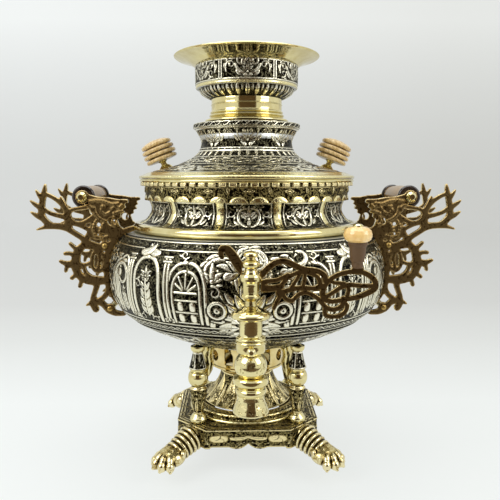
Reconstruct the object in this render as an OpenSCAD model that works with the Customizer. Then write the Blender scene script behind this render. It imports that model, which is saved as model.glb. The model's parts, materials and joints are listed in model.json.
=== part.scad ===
// Samovar: charcoal-fired water urn with a tap, a lift-off lid and a teapot crown.
// Origin on the urn's axis at table level. +Z up, the tap faces -Y, millimetres.

/* [Belly] */
// Widest diameter of the water vessel
belly_d = 340; // [325:1:355]
// Height of the water vessel
belly_h = 137; // [130:1:145]
// Height of the widest level above the bottom of the vessel
belly_mid = 88; // [82:1:92]
// How far the bulge swells beyond its ledge
bulge = 42; // [38:1:45]
// Half height of the bulge
bulge_h = 55; // [51:1:58]
// Height of the ledge above the bottom of the vessel
ledge_h = 35; // [32:1:38]
// Radius taken in from the widest line to the ledge
ledge_in = 25; // [23:1:27]
// Diameter of the vessel's flat bottom
bottom_d = 132; // [124:1:140]
// Sheet thickness of vessel, bands and crown
wall = 2; // [2:0.5:3]

/* [Bands] */
// Height of the polished shoulder ring
shoulder_h = 11; // [9:1:14]
// Outer diameter of the shoulder ring
shoulder_d = 280; // [272:1:288]
// Height of the hollow-curved neck band
neck_h = 27; // [24:1:32]
// Diameter at the waist of the neck band
neck_d = 235; // [232:1:240]
// Number of ribs round the neck band
rib_count = 12; // [8:2:16]
// Width of one rib
rib_w = 8; // [6:1:11]
// Height of the frieze band
frieze_h = 17; // [15:1:21]
// Diameter of the frieze band
frieze_d = 248; // [244:1:254]
// Number of scallops on the frieze
scallop_count = 24; // [16:1:28]
// Height of the rim ring
rim_h = 8; // [7:1:11]
// Diameter of the rim ring
rim_d = 262; // [258:1:268]
// Width of the rim ring, from its outer edge to the clear opening under the lid
rim_w = 19; // [17:1:23]
// Number of dentils under the rim
dentil_count = 72; // [48:1:80]

/* [Lid] */
// Height of the lid, flange to collar
lid_h = 59; // [54:1:66]
// Thickness of the lid's sheet
lid_t = 2; // [1.5:0.5:3]
// Height of the collar round the chimney
collar_ring_h = 7; // [5:1:10]
// Diameter of that collar
collar_ring_d = 131; // [124:1:138]
// Distance of each lid knob from the axis
knob_off = 100; // [96:1:104]
// Outward lean of the lid knobs, degrees
knob_lean = 22; // [14:1:28]
// Widest diameter of a lid knob
knob_d = 41; // [34:1:46]
// Height of a lid knob
knob_h = 27; // [22:1:32]
// Length of the brass stem under a lid knob
stem_h = 9; // [7:1:13]

/* [Crown] */
// Height of the crown's moulded foot
crown_foot_h = 16; // [14:1:20]
// Height of the polished crown neck above its foot
crown_neck_h = 13; // [10:1:18]
// Diameter of the crown neck
crown_neck_d = 86; // [84:1:90]
// Height of the bowl under the engraved band
bowl_h = 15; // [13:1:20]
// Height of the engraved band
band_h = 24; // [20:1:30]
// Diameter of the engraved band
band_d = 125; // [120:1:132]
// Height of the flared dish
dish_h = 12; // [10:1:16]
// Diameter of the flared dish
dish_d = 176; // [166:1:186]
// Number of draught holes in the crown's floor
draught_count = 8; // [6:1:10]
// Diameter of a draught hole
draught_d = 12; // [9:1:14]

/* [Fire tube] */
// Outer diameter of the fire tube
tube_d = 74; // [68:1:76]
// Thickness of the fire tube
tube_t = 2.5; // [2:0.5:4]
// How far the tube stands up into the crown
tube_up = 8; // [5:1:12]
// Thickness of the grate
grate_t = 4; // [3:1:6]
// Diameter of a grate hole
grate_hole_d = 7; // [5:1:8]

/* [Pedestal] */
// Height of the base plate's top above the table
base_h = 41; // [39:1:46]
// Width of the square base plate
base_w = 170; // [164:1:180]
// Corner cut of the base plate, measured along one side
base_cut = 35; // [32:1:38]
// Thickness of base plate and skirt
base_t = 3; // [3:0.5:5]
// Depth of the skirt
skirt_h = 24; // [21:1:25]
// Height of the plinth ring
plinth_h = 10; // [8:1:13]
// Diameter of the plinth ring
plinth_d = 146; // [136:1:148]
// Height of the pedestal bell
bell_h = 37; // [33:1:43]
// Diameter at the bell's foot
bell_foot_d = 112; // [102:1:120]
// Diameter at the bell's top
bell_top_d = 66; // [60:1:72]
// Height of the pierced air collar
collar_h = 41; // [38:1:46]
// Diameter of the air collar
collar_d = 92; // [90:1:98]
// Number of windows round the air collar
window_count = 12; // [8:1:14]
// Width of an air window
window_w = 12; // [9:1:13]

/* [Feet and posts] */
// How far the paw's centre lies outside the plate's cut corner
foot_reach = 32; // [29:1:36]
// Height of the paw
paw_h = 24; // [20:1:26]
// Radius of the paw
paw_r = 17; // [15:1:19]
// Radius of the ribbed leg at the plate
leg_r = 16; // [14:1:17]
// Number of rings on the leg
leg_rings = 5; // [4:1:7]
// Distance of a post's axis in from the sides of the base plate
post_in = 26; // [25:1:27]
// Radius of the post's bulb
post_r = 12; // [11:0.5:13]
// Height of the post's engraved vase, below the bulb
vase_h = 45; // [43:1:47]
// Diameter of a foot screw
foot_screw_d = 5; // [4:0.5:6]
// Diameter of a post's threaded end
post_stud_d = 6; // [5:0.5:7]

/* [Handles] */
// Distance from the middle to the centre plane of each openwork plate
plate_off = 45; // [43:1:49]
// Thickness of an openwork plate
plate_t = 6; // [5:0.5:8]
// Diameter of a black grip
grip_d = 24; // [22:1:28]
// Diameter of the rod through a grip
rod_d = 5; // [4:0.5:6]
// Diameter of the round nut on a rod
rod_nut_d = 12; // [11:0.5:14]
// Diameter of a stay between the plates
stay_d = 8; // [7:0.5:9]
// Diameter of a stay screw
stay_screw_d = 4; // [3:0.5:5]

/* [Tap] */
// How far the key's axis stands in front of the belly's widest line
tap_reach = 20; // [18:1:24]
// Height of the pipe above the vessel's bottom
tap_up = 58; // [56:1:61]
// Outer diameter of the pipe
pipe_d = 16; // [14:0.5:18]
// Diameter of the waterway
water_d = 8; // [6:0.5:9]
// Diameter of the plug
plug_d = 14; // [13:0.5:15]
// Outer diameter of the valve body
valve_d = 22; // [21:0.5:25]
// Height of the valve body above the pipe's axis
valve_up = 10.5; // [9:0.5:12]
// Depth of the valve body below the pipe's axis
valve_down = 11; // [10:0.5:12]
// Diameter of the escutcheon on the belly
escutcheon_d = 38; // [34:1:42]
// Height of the spout outlet above the table
outlet_z = 104; // [98:1:110]
// Bore of the spout
spout_bore_d = 18; // [14:1:19]
// Diameter of the drip bonnet
bonnet_d = 38; // [32:1:42]
// Height of the drip bonnet
bonnet_h = 11.5; // [10:0.5:13]
// Diameter of the key's spindle
spindle_d = 8; // [7:0.5:9]
// Thickness of the openwork lever
lever_t = 4; // [3:0.5:6]
// Height of the hub that carries the lever
hub_h = 31; // [29:1:33]
// Widest diameter of the lever knob
lever_knob_d = 27; // [22:1:30]

/* [Fits] */
// Radial clearance of parts that turn or slide in each other
run_gap = 0.05; // [0.03:0.01:0.08]
// Gap between curved faces that seat on each other
seat_gap = 0.1; // [0.05:0.05:0.2]
// Gap under the lid and under the crown
lift_gap = 0.3; // [0.2:0.1:0.5]
// Radial play of the lid and the crown round the chimney
chimney_play = 1.5; // [1:0.5:2]

/* [Hidden] */
$fn = 48;

// Levels of the stack, from the table up
plinth_z = base_h;
bell_z = plinth_z + plinth_h;
collar_z = bell_z + bell_h;
belly_z = collar_z + collar_h;
shoulder_z = belly_z + belly_h;
neck_z = shoulder_z + shoulder_h;
frieze_z = neck_z + neck_h;
rim_z = frieze_z + frieze_h;
lid_z = rim_z + rim_h + lift_gap;
ring_z = lid_z + lid_h;
crown_z = ring_z + collar_ring_h + lift_gap;
crown_neck_z = crown_z + crown_foot_h;
bowl_z = crown_neck_z + crown_neck_h;
band_z = bowl_z + bowl_h;
dish_z = band_z + band_h;
mid_z = belly_z + belly_mid;

belly_r = belly_d / 2;
throat_r = rim_d / 2 - rim_w;
tube_r = tube_d / 2;
chimney_r = tube_r + chimney_play;
corner_d = (base_w - base_cut) / sqrt(2);
post_d = (base_w / 2 - post_in) * sqrt(2);
tap_y = -(belly_r + tap_reach);
tap_z = belly_z + tap_up;

// Catmull-Rom curve through hand-set points, n steps a stretch
function blend(a, b, c, d, t) =
  0.5 * (2 * b + (c - a) * t + (2 * a - 5 * b + 4 * c - d) * t * t + (3 * b - a - 3 * c + d) * t * t * t);
function smooth(p, n = 6) = concat(
  [for (i = [0:len(p) - 2], k = [0:n - 1])
    blend(p[max(i - 1, 0)], p[i], p[i + 1], p[min(i + 2, len(p) - 1)], k / n)],
  [p[len(p) - 1]]);
function flat(p) = [p.x, p.y];
function unit(v) = v / norm(v);
function left_of(v) = [-v.y, v.x];
function lerp(a, b, t) = a + (b - a) * t;

// Path moved sideways by t (mitred), to its left
function side(p, i, t) = let (
    a = i > 0 ? left_of(unit(p[i] - p[i - 1])) : left_of(unit(p[1] - p[0])),
    b = i < len(p) - 1 ? left_of(unit(p[i + 1] - p[i])) : a,
    m = unit(a + b))
  p[i] + m * t / max(m * a, 0.4);
// Closed outline of a sheet that follows a path, thickness to its left
function sheet(p, t) = concat(p, [for (i = [len(p) - 1:-1:0]) side(p, i, t)]);

module turned(p) { rotate_extrude($fn = 96) polygon(p); }
module ring(r_in, r_out, h) { turned([[r_in, 0], [r_out, 0], [r_out, h], [r_in, h]]); }
module at_corners() { for (a = [45:90:315]) rotate(a) children(); }

// Tapered strand through [x, y, width] points
module strand(p, n = 2) {
  q = smooth(p, n);
  c = [for (v = q) flat(v)];
  l = [for (i = [0:len(q) - 1]) side(c, i, q[i].z / 2)];
  r = [for (i = [len(q) - 1:-1:0]) side(c, i, -q[i].z / 2)];
  polygon(concat(l, r));
  translate(c[0]) circle(d = q[0].z, $fn = 8);
  translate(c[len(c) - 1]) circle(d = q[len(q) - 1].z, $fn = 8);
}
// Strands melted into one casting, with small fillets where they meet
module casting() { offset(r = -0.7, $fn = 8) offset(delta = 0.7) children(); }

// ---------------------------------------------------------------- vessel

// Outer outline of the belly, bottom to shoulder; its bulge is a squared-off ellipse
squareness = 0.92;
function cone_z(r) = let (t = (r - bottom_d / 2) / (belly_r - ledge_in - bottom_d / 2))
  belly_z + ledge_h * (0.78 * t + 0.22 * t * t * t);
function bulge_pt(a) = [belly_r - bulge + bulge * pow(max(cos(a), 0), squareness),
  mid_z + bulge_h * sign(sin(a)) * pow(abs(sin(a)), squareness)];
function bulge_angle(z) = asin(pow(abs(z) / bulge_h, 1 / squareness)) * sign(z);
ledge_a = bulge_angle(ledge_h + 1.5 - belly_mid);
top_a = bulge_angle(belly_h - belly_mid);
function belly_path() = concat(
  [for (i = [0:5]) let (r = lerp(bottom_d / 2, belly_r - ledge_in, i / 5)) [r, cone_z(r)]],
  [for (i = [0:20]) bulge_pt(lerp(ledge_a, top_a, i / 20))]);
module belly_solid(g = 0) {
  p = belly_path();
  turned(concat([[0, belly_z - g]],
    [for (i = [0:len(p) - 1]) p[i] + [i < 6 ? 0 : g, i < 6 ? -g : 0]],
    [[p[len(p) - 1].x + g, shoulder_z], [0, shoulder_z]]));
}
module belly_cavity(g = 0) {
  p = belly_path();
  turned(concat([[tube_r + 1, belly_z + wall + g]],
    [for (i = [1:len(p) - 2]) side(p, i, wall + g)],
    [[throat_r, shoulder_z - wall - g], [tube_r + 1, shoulder_z - wall - g]]));
}

module belly_shell() color("darkkhaki") difference() {
  turned(sheet(concat([[tube_r + seat_gap, belly_z]], belly_path(), [[throat_r, shoulder_z]]), wall));
  translate([0, 0, tap_z]) rotate([90, 0, 0]) cylinder(d = pipe_d + 2 * seat_gap, h = belly_r + 9);
}

// Shoulder ring: half-round bead on the vessel's rim
function shoulder_path() = concat(
  [[shoulder_d / 2 - 6, 0]],
  [for (a = [-80:20:80]) [shoulder_d / 2 - 6 + 6 * cos(a), shoulder_h / 2 + shoulder_h / 2 * sin(a)]],
  [[shoulder_d / 2 - 6, shoulder_h], [throat_r, shoulder_h]]);
module shoulder_ring() color("palegoldenrod")
  translate([0, 0, shoulder_z]) turned(sheet(shoulder_path(), wall));

// Neck band: hollow curve between shoulder ring and frieze, with ribs
function neck_path(g = 0) = [for (p = smooth([[shoulder_d / 2 - 8, 0], [neck_d / 2 + 7.5, 3],
    [neck_d / 2 + 3, 8], [neck_d / 2, 14], [neck_d / 2 + 0.3, 20], [neck_d / 2 + 3, neck_h]], 3))
  [p.x + g, p.y]];
module neck_rib() {
  inner = neck_path(-wall / 2);
  rotate([0, 0, -rib_w / neck_d * 57.3]) rotate_extrude(angle = rib_w / neck_d * 114.6, $fn = 96)
    polygon(concat(neck_path(1.4), [for (i = [len(inner) - 1:-1:0]) inner[i]]));
}
module neck_band() color("darkkhaki") translate([0, 0, neck_z]) {
  p = neck_path();
  turned(concat(p, [for (i = [len(p) - 1:-1:0]) let (q = side(p, i, wall))
    [q.x, min(max(q.y, 0), neck_h)]]));
  for (i = [0:rib_count - 1]) rotate((i + 0.5) * 360 / rib_count) neck_rib();
}

// Frieze band: flanged drum with a row of raised scallops along its foot
scallop_r = 0.46 * 3.14 * frieze_d / scallop_count;
frieze_t = wall + 2;
module frieze_band() color("darkkhaki") translate([0, 0, frieze_z]) {
  turned([[neck_d / 2, 0], [frieze_d / 2, 0], [frieze_d / 2, frieze_h], [frieze_d / 2 - frieze_t, frieze_h],
    [frieze_d / 2 - frieze_t, wall], [neck_d / 2, wall]]);
  difference() {
    for (i = [0:scallop_count - 1]) rotate((i + 0.5) * 360 / scallop_count)
      translate([frieze_d / 2 - 3, 0, -0.3 * scallop_r]) rotate([0, 90, 0]) cylinder(r = scallop_r, h = 4.6);
    translate([0, 0, -scallop_r * 2]) cylinder(r = frieze_d, h = scallop_r * 2);
  }
}

// Rim ring: carries the lid, dentils along its lower edge
module rim_ring() color("palegoldenrod") translate([0, 0, rim_z]) difference() {
  turned([[throat_r, 0], [rim_d / 2 - 1, 0], [rim_d / 2 - 1, rim_h * 0.5], [rim_d / 2, rim_h * 0.6],
    [rim_d / 2, rim_h - 1], [rim_d / 2 - 1, rim_h], [throat_r, rim_h]]);
  for (i = [0:dentil_count - 1]) rotate(i * 360 / dentil_count)
    translate([rim_d / 2 - 4, -0.19 * 3.14 * rim_d / dentil_count, -1])
      cube([8, 0.38 * 3.14 * rim_d / dentil_count, 1 + rim_h * 0.45]);
}

// Fire tube: flange under the vessel, ledge for the grate, mouth inside the crown
flange_r = collar_d / 2 - wall - seat_gap;
tube_top = crown_z + tube_up;
module fire_tube() color("silver") turned([
  [tube_r - tube_t - 3, belly_z - wall], [flange_r, belly_z - wall], [flange_r, belly_z],
  [tube_r, belly_z], [tube_r, tube_top], [tube_r - tube_t, tube_top],
  [tube_r - tube_t, belly_z + 3], [tube_r - tube_t - 3, belly_z + 3]]);
module grate() color("dimgray") translate([0, 0, belly_z + 3]) difference() {
  cylinder(r = tube_r - tube_t - seat_gap, h = grate_t);
  for (n = [[1, 0], [6, 0.36], [12, 0.72]]) for (i = [0:n[0] - 1]) rotate(i * 360 / n[0])
    translate([n[1] * (tube_r - tube_t), 0, -1]) cylinder(d = grate_hole_d, h = grate_t + 2);
}

// ---------------------------------------------------------------- lid

function lid_path() = smooth([[rim_d / 2, 0], [rim_d / 2, 3], [rim_d / 2 - 4, 4.5],
  [rim_d / 2 - 12.3, 8], [rim_d / 2 - 25.5, 11], [rim_d / 2 - 43.7, 16], [rim_d / 2 - 59.6, 23],
  [rim_d / 2 - 69.4, 29.5], [rim_d / 2 - 74, 37], [rim_d / 2 - 75.3, 43], [rim_d / 2 - 74, lid_h - 10],
  [rim_d / 2 - 70, lid_h - 3], [rim_d / 2 - 67.5, lid_h]], 3);
module lid_solid(g = 0) translate([0, 0, lid_z])
  turned(concat([[0, 0]], [for (p = lid_path()) p + [0, g]], [[0, lid_h + g]]));
module lid_cover() color("darkkhaki") translate([0, 0, lid_z]) {
  p = lid_path();
  turned(concat([[throat_r - 4, -4], [throat_r - 1.5, -4], [throat_r - 1.5, 0]], p,
    [[chimney_r, lid_h], [chimney_r, lid_h - lid_t]],
    [for (i = [len(p) - 1:-1:0]) let (q = side(p, i, lid_t))
      if (p[i].x < throat_r - 10 && q.y < lid_h - 2 * lid_t) q],
    [[throat_r - 4, lid_t]]));
}
module lid_collar() color("darkkhaki") translate([0, 0, ring_z])
  turned([[chimney_r, 0], [collar_ring_d / 2 - 1.5, 0], [collar_ring_d / 2, 1.5],
    [collar_ring_d / 2, collar_ring_h - 1.5], [collar_ring_d / 2 - 1.5, collar_ring_h],
    [chimney_r, collar_ring_h]]);

// Lid knobs lean outwards from the slope of the lid
knob_z = lid_z + 13;
module on_knob(s) { translate([s * knob_off, 0, knob_z]) rotate([0, s * knob_lean, 0]) children(); }
stem_r = knob_d * 0.22;
module knob_stem() turned([[0, -7], [stem_r, -7], [stem_r, -1], [stem_r - 1.5, 1.5], [stem_r - 5, 4],
  [stem_r - 5.6, stem_h - 2], [stem_r - 3, stem_h], [0, stem_h]]);
module lid_knob_stems() color("goldenrod") difference() {
  for (s = [-1, 1]) on_knob(s) { knob_stem(); translate([0, 0, stem_h - 1]) cylinder(r = 2.5, h = 13); }
  lid_solid(seat_gap);
}
// Beehive outline: stacked rounded discs
function hive(r, h, n) = concat([[0, 0]],
  [for (i = [0:n - 1], a = [-75:25:75]) let (w = r * (0.86 + 0.14 * sin(180 * (i + 0.6) / n)), s = h * 0.86 / n)
    [w - s * 0.5 * (1 - cos(a)) - 0.6, s * (i + 0.5) + s * 0.46 * sin(a)]],
  [[r * 0.6, h * 0.93], [r * 0.3, h], [0, h]]);
module wooden_knob() difference() {
  turned(hive(knob_d / 2, knob_h, 4));
  translate([0, 0, -1]) cylinder(r = 2.5 + seat_gap, h = 13.5);
}
module lid_knob_left() color("burlywood") on_knob(-1) translate([0, 0, stem_h]) wooden_knob();
module lid_knob_right() color("burlywood") on_knob(1) translate([0, 0, stem_h]) wooden_knob();

// ---------------------------------------------------------------- crown

module crown_neck() color("palegoldenrod") translate([0, 0, crown_z]) {
  r = crown_neck_d / 2;
  f = crown_foot_h;
  turned(concat([[chimney_r, 0], [r + 7.5, 0], [r + 8, 1.5], [r + 6.5, f * 0.36], [r + 2.2, f * 0.48],
    [r + 2.8, f * 0.57], [r + 2.2, f * 0.66], [r + 0.6, f * 0.72], [r + 1.4, f * 0.86], [r + 1.2, f * 0.94],
    [r, f], [r, f + crown_neck_h * 0.42], [r + 0.6, f + crown_neck_h * 0.5],
    [r, f + crown_neck_h * 0.58], [r, f + crown_neck_h]],
    [[r - wall, f + crown_neck_h], [r - wall, f], [chimney_r, f * 0.8]]));
}
module crown_cup() color("darkkhaki") translate([0, 0, bowl_z]) {
  r = crown_neck_d / 2;
  b = band_d / 2;
  top = bowl_h + band_h;
  difference() {
    turned(concat([[r - wall, 0], [r + 1, 0]],
      smooth([[r + 1, 0], [lerp(r, b, 0.4), 3], [lerp(r, b, 0.68), 7], [lerp(r, b, 0.76), bowl_h - 3.5]], 3),
      [[b - 1.2, bowl_h - 3], [b - 0.6, bowl_h - 1.2], [b - 1, bowl_h], [b, bowl_h + 0.6],
        [b, top], [b - wall, top], [b - wall, bowl_h - 3], [0, bowl_h - 3],
        [0, bowl_h - 3 - wall], [r + 2, bowl_h - 3 - wall], [r - wall, bowl_h - 6 - wall]]));
    translate([0, 0, bowl_h - 4 - wall]) {
      cylinder(d = draught_d * 1.5, h = wall + 2);
      for (i = [0:draught_count - 1]) rotate(i * 360 / draught_count)
        translate([(r - wall) * 0.68, 0, 0]) cylinder(d = draught_d, h = wall + 2);
    }
  }
}
module crown_dish() color("palegoldenrod") translate([0, 0, dish_z]) {
  b = band_d / 2;
  e = dish_d / 2;
  turned(sheet(concat([[b - wall, 0]], smooth([[b + 0.5, 0], [lerp(b, e, 0.22), dish_h * 0.26],
    [lerp(b, e, 0.55), dish_h * 0.62], [lerp(b, e, 0.85), dish_h * 0.86], [e - 1, dish_h - 2.2],
    [e, dish_h - 1.2]], 3)), 2.2));
}

// ---------------------------------------------------------------- pedestal

module octagon(w, c) polygon([[w / 2 - c, -w / 2], [w / 2, -w / 2 + c], [w / 2, w / 2 - c], [w / 2 - c, w / 2],
  [-w / 2 + c, w / 2], [-w / 2, w / 2 - c], [-w / 2, -w / 2 + c], [-w / 2 + c, -w / 2]]);
inner_cut = base_cut - base_t * (2 - sqrt(2));
module skirt_cut() {
  half = base_w / 2 - base_cut;
  low = base_h - skirt_h;
  lobe = half * 0.28;
  difference() {
    union() {
      translate([-half, low - 9]) square([2 * half, 11]);
      translate([-lobe, low]) square([2 * lobe, lobe * 0.6]);
    }
    for (s = [-1, 1]) translate([s * lobe, low + lobe * 1.32]) circle(r = lobe * 1.32);
  }
}
module base_plate() color("darkkhaki") difference() {
  translate([0, 0, base_h - skirt_h]) linear_extrude(skirt_h) octagon(base_w, base_cut);
  translate([0, 0, base_h - skirt_h - 1]) linear_extrude(skirt_h + 1 - base_t)
    octagon(base_w - 2 * base_t, inner_cut);
  for (a = [0:90:270]) rotate(a) translate([0, -base_w / 2 + base_t + 1, 0]) rotate([90, 0, 0])
    linear_extrude(base_t + 2) skirt_cut();
  at_corners() {
    translate([corner_d - base_t - 1, 0, screw_z]) rotate([0, 90, 0])
      cylinder(d = foot_screw_d + 2 * seat_gap, h = base_t + 2);
    translate([post_d, 0, base_h - base_t - 1]) cylinder(d = post_stud_d + 2 * seat_gap, h = base_t + 2);
  }
  translate([0, 0, base_h - base_t - 1]) cylinder(d = bell_foot_d - 30, h = base_t + 2);
}

// Foot: ribbed leg out of the cut corner, lion paw with four toes
leg_z = base_h - base_t - 15;
screw_z = base_h - base_t - 10;
paw_x = corner_d + foot_reach;
function dome(r, h, n = 6) = concat([[0, 0], [r, 0]], [for (i = [1:n]) [r * cos(90 * i / n), h * sin(90 * i / n)]]);
function egg(r, l, n = 10) = [for (i = [0:n]) [r * sin(180 * i / n), -l * cos(180 * i / n)]];
module leg() {
  run = foot_reach * 0.86;
  drop = leg_z - paw_h * 0.52;
  len = norm([run, drop]) + 3;
  step = len / leg_rings;
  translate([corner_d - 3, 0, leg_z + 3 * drop / run]) rotate([0, 90 + atan(drop / run), 0])
    turned(concat([[0, 0]],
      [for (i = [0:leg_rings - 1], a = [-60:30:60])
        [lerp(leg_r, paw_r * 0.72, (i + 0.5) / leg_rings) - 2 + 2 * cos(a), step * (i + 0.5) + step * 0.5 * a / 62]],
      [[0, len]]));
}
module foot() color("khaki") difference() {
  union() {
    leg();
    translate([paw_x, 0, 0]) {
      turned(dome(paw_r, paw_h));
      for (a = [-54:36:54]) rotate(a) translate([paw_r * 0.95, 0, paw_r * 0.27])
        rotate([0, 90, 0]) turned(egg(paw_r * 0.29, paw_r * 0.46));
    }
  }
  translate([0, 0, -base_h]) cube([2 * base_w, 2 * base_w, 2 * base_h], center = true);
  translate([corner_d - 20, -30, 0]) cube([20, 60, 60]);
  translate([corner_d - 1, 0, screw_z]) rotate([0, 90, 0]) cylinder(d = foot_screw_d, h = 13);
}
module foot_front_left() rotate(225) foot();
module foot_front_right() rotate(315) foot();
module foot_back_left() rotate(135) foot();
module foot_back_right() rotate(45) foot();
module foot_screws() color("gray") at_corners()
  translate([corner_d - base_t, 0, screw_z]) rotate([0, 90, 0]) {
    translate([0, 0, -3]) cylinder(d = foot_screw_d * 1.9, h = 3);
    cylinder(d = foot_screw_d - 2 * run_gap, h = base_t + 11);
  }

module plinth_ring() color("darkkhaki") translate([0, 0, plinth_z]) {
  r = plinth_d / 2;
  turned([[r - 8, 0], [r, 0], [r, 2], [r - 1.2, 3.2], [r - 3, 3.6], [r - 3, plinth_h - 2.4],
    [r - 2, plinth_h - 2], [r - 2, plinth_h - 0.6], [r - 3, plinth_h], [bell_foot_d / 2 - 15, plinth_h],
    [bell_foot_d / 2 - 15, plinth_h - wall - 1], [r - 8, plinth_h - wall - 1]]);
}
module pedestal_bell() color("darkkhaki") translate([0, 0, bell_z]) {
  turned(sheet(concat([[bell_foot_d / 2 - 12, 0], [bell_foot_d / 2, 0]],
    [for (i = [0:10]) let (t = i / 10)
      [lerp(bell_top_d / 2, bell_foot_d / 2 - 2, pow(1 - t, 1.7)), lerp(2, bell_h, t)]],
    [[bell_top_d / 2 - 8, bell_h]]), wall));
}
module air_window(i) {
  if (i % 2 == 0) rotate([0, 90, 0]) cylinder(d = window_w + 2, h = collar_d);
  else {
    translate([0, -window_w / 2, -window_w * 0.7]) cube([collar_d, window_w, window_w * 0.9]);
    translate([0, 0, window_w * 0.2]) rotate([0, 90, 0]) cylinder(d = window_w, h = collar_d);
  }
}
module air_collar() color("goldenrod") translate([0, 0, collar_z]) difference() {
  r = collar_d / 2;
  turned(concat([[0, 0], [bell_top_d / 2, 0]],
    smooth([[bell_top_d / 2, 0], [bell_top_d / 2 + 2, 2.5], [r - 3, 6], [r + 1.5, 8.5]], 3),
    [[r + 1.5, 10.5], [r, 11.5], [r, collar_h - 5], [r + 6, collar_h], [r - wall, collar_h], [r - wall, 10],
      [bell_top_d / 2 - 2, 4], [0, 4]]));
  for (i = [0:window_count - 1]) rotate(i * 360 / window_count - 90)
    translate([r - wall - 4, 0, 23]) air_window(i);
}

// Posts: turned, between the plate and the cone of the vessel
post_h = cone_z(post_d) - base_h;
bulb_h = 21;
stud_up = post_stud_d * 1.8;
module post() color("darkkhaki") difference() {
  translate([post_d, 0, base_h]) turned(concat([[0, 0], [10, 0], [10.4, 4], [8, 8], [6, 11]],
    smooth([[6, 12], [7.4, 18], [9, 26], [10.8, vase_h - 8], [10, vase_h - 4]], 3),
    [[8.4, vase_h - 2], [8.4, vase_h]],
    [for (p = [[-1.5, 2.5], [0, 6], [0, 12], [-1.5, 16], [-2.5, 18], [-2.5, 20], [-1, 21]]) [post_r + p.x, vase_h + p.y]],
    [[5.8, post_h - 8], [8, post_h - 6], [8.6, post_h - 3], [8.6, post_h + 8], [0, post_h + 8]]));
  belly_solid(seat_gap);
  translate([post_d, 0, base_h - 1]) cylinder(d = post_stud_d, h = stud_up + 2);
}
module post_front_left() rotate(225) post();
module post_front_right() rotate(315) post();
module post_back_left() rotate(135) post();
module post_back_right() rotate(45) post();
// Smooth S-bracket on the inner side of each post
module post_brackets() color("gold") difference() {
  at_corners() translate([post_d, 5.5, base_h]) rotate([90, 0, 0]) linear_extrude(11) casting()
    strand([[-post_r + 1, 56, 6], [-15, 62, 8], [-17, 70, 8], [-15, 78, 7.5], [-17, 86, 8], [-24, 92, 10]]);
  belly_solid(seat_gap);
  at_corners() translate([post_d, 0, base_h]) cylinder(r = post_r + seat_gap, h = vase_h + bulb_h);
}
module post_nuts() color("gray") at_corners() translate([post_d, 0, base_h - base_t]) {
  translate([0, 0, -4]) cylinder(r = post_stud_d, h = 4, $fn = 6);
  cylinder(d = post_stud_d - 2 * run_gap, h = base_t + stud_up);
}

// ---------------------------------------------------------------- handles

// Strands of the openwork, [outwards from the belly's widest line, up from its widest level, width]
antler = [
  [[64, 106, 1], [65, 100, 4], [67, 91, 5.5], [69, 81, 6], [70, 73, 6], [67, 65, 6.5], [59, 58, 6.5], [48, 57, 7], [38, 54, 7]],
  [[75, 99, 1], [72, 94, 3.5], [68, 88, 4.5]],
  [[82, 87, 1], [77, 83, 4], [70, 78, 5]],
  [[82, 74, 1], [76, 70, 4.5], [68, 66, 6]],
  [[76, 53, 1], [66, 56, 4], [57, 57, 6]],
  [[66, 95, 3.5], [58, 92, 4], [49, 86, 4.5], [42, 78, 6], [39, 68, 7], [40, 58, 8.5]],
  [[47, 92, 1], [45, 87, 3], [42, 80, 3.5]],
  [[69, 79, 4], [61, 73, 4], [52, 70, 4.5], [41, 68, 6]],
  [[40, 68, 6], [32, 61, 4.5], [22, 61, 4.5], [12, 66, 6]],
  [[40, 71, 4.5], [35, 76, 4], [26, 78, 3.5], [14, 80, 4.5]]];
neck_strands = [
  [[43, 56, 6], [31, 48, 5.5], [22, 42, 6], [19, 34, 7]],
  [[38, 61, 3.5], [26, 58, 3.5], [15, 53, 4.5], [7, 50, 4.5]],
  [[9, 72, 7], [9, 63, 6], [12, 53, 6], [17, 45, 6]],
  [[5, 53, 4], [-3, 50, 4], [-12, 51, 4], [-21, 54, 4.5]],
  [[15, 46, 4], [7, 44, 4], [-2, 43, 4], [-13, 46, 4.5]],
  [[20, 40, 4.5], [9, 36, 4], [-1, 33, 4], [-8, 34, 4.5]]];
belly_strand = [[-42, 56, 5], [-31, 53, 6], [-19, 47, 7], [-10, 34, 8], [-5, 17, 8], [-5, -2, 8], [-9, -20, 7.5],
  [-17, -33, 7], [-27, -44, 6]];
fan = [
  [[20, 37, 7], [29, 28, 8.5], [32, 17, 9.5], [32, 7, 9], [27, -3, 7.5], [18, -8, 7], [7, -9, 7], [-5, -7, 7]],
  [[38, 37, 3], [33, 32, 4], [27, 29, 4.5]],
  [[44, 25, 4], [38, 25, 4], [31, 22, 4.5]],
  [[50, 16, 3], [43, 13, 5.5], [34, 13, 8.5]],
  [[44, 4, 3], [42, 10, 4.5], [35, 13, 7]],
  [[37, -4, 4.5], [33, -1, 4], [28, 2, 4.5]],
  [[28, -14, 4], [26, -8, 4], [21, -4, 4.5]],
  [[22, 34, 4.5], [15, 32, 4], [6, 32, 4], [-6, 31, 4.5]],
  [[31, 13, 4.5], [23, 11, 4], [17, 13, 4], [12, 15, 3.5]],
  [[23, 10, 3.5], [21, 3, 3.5], [14, -3, 3.5], [2, -5, 4.5]],
  [[7, 29, 3.5], [1, 25, 3.5], [-2, 17, 3.5], [0, 8, 3.5], [6, 3, 3.5], [12, 8, 3.5], [13, 17, 3.5], [11, 25, 3.5], [7, 29, 3.5]],
  [[7, 27, 2.5], [4, 18, 3], [7, 5, 2.5]]];
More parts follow.
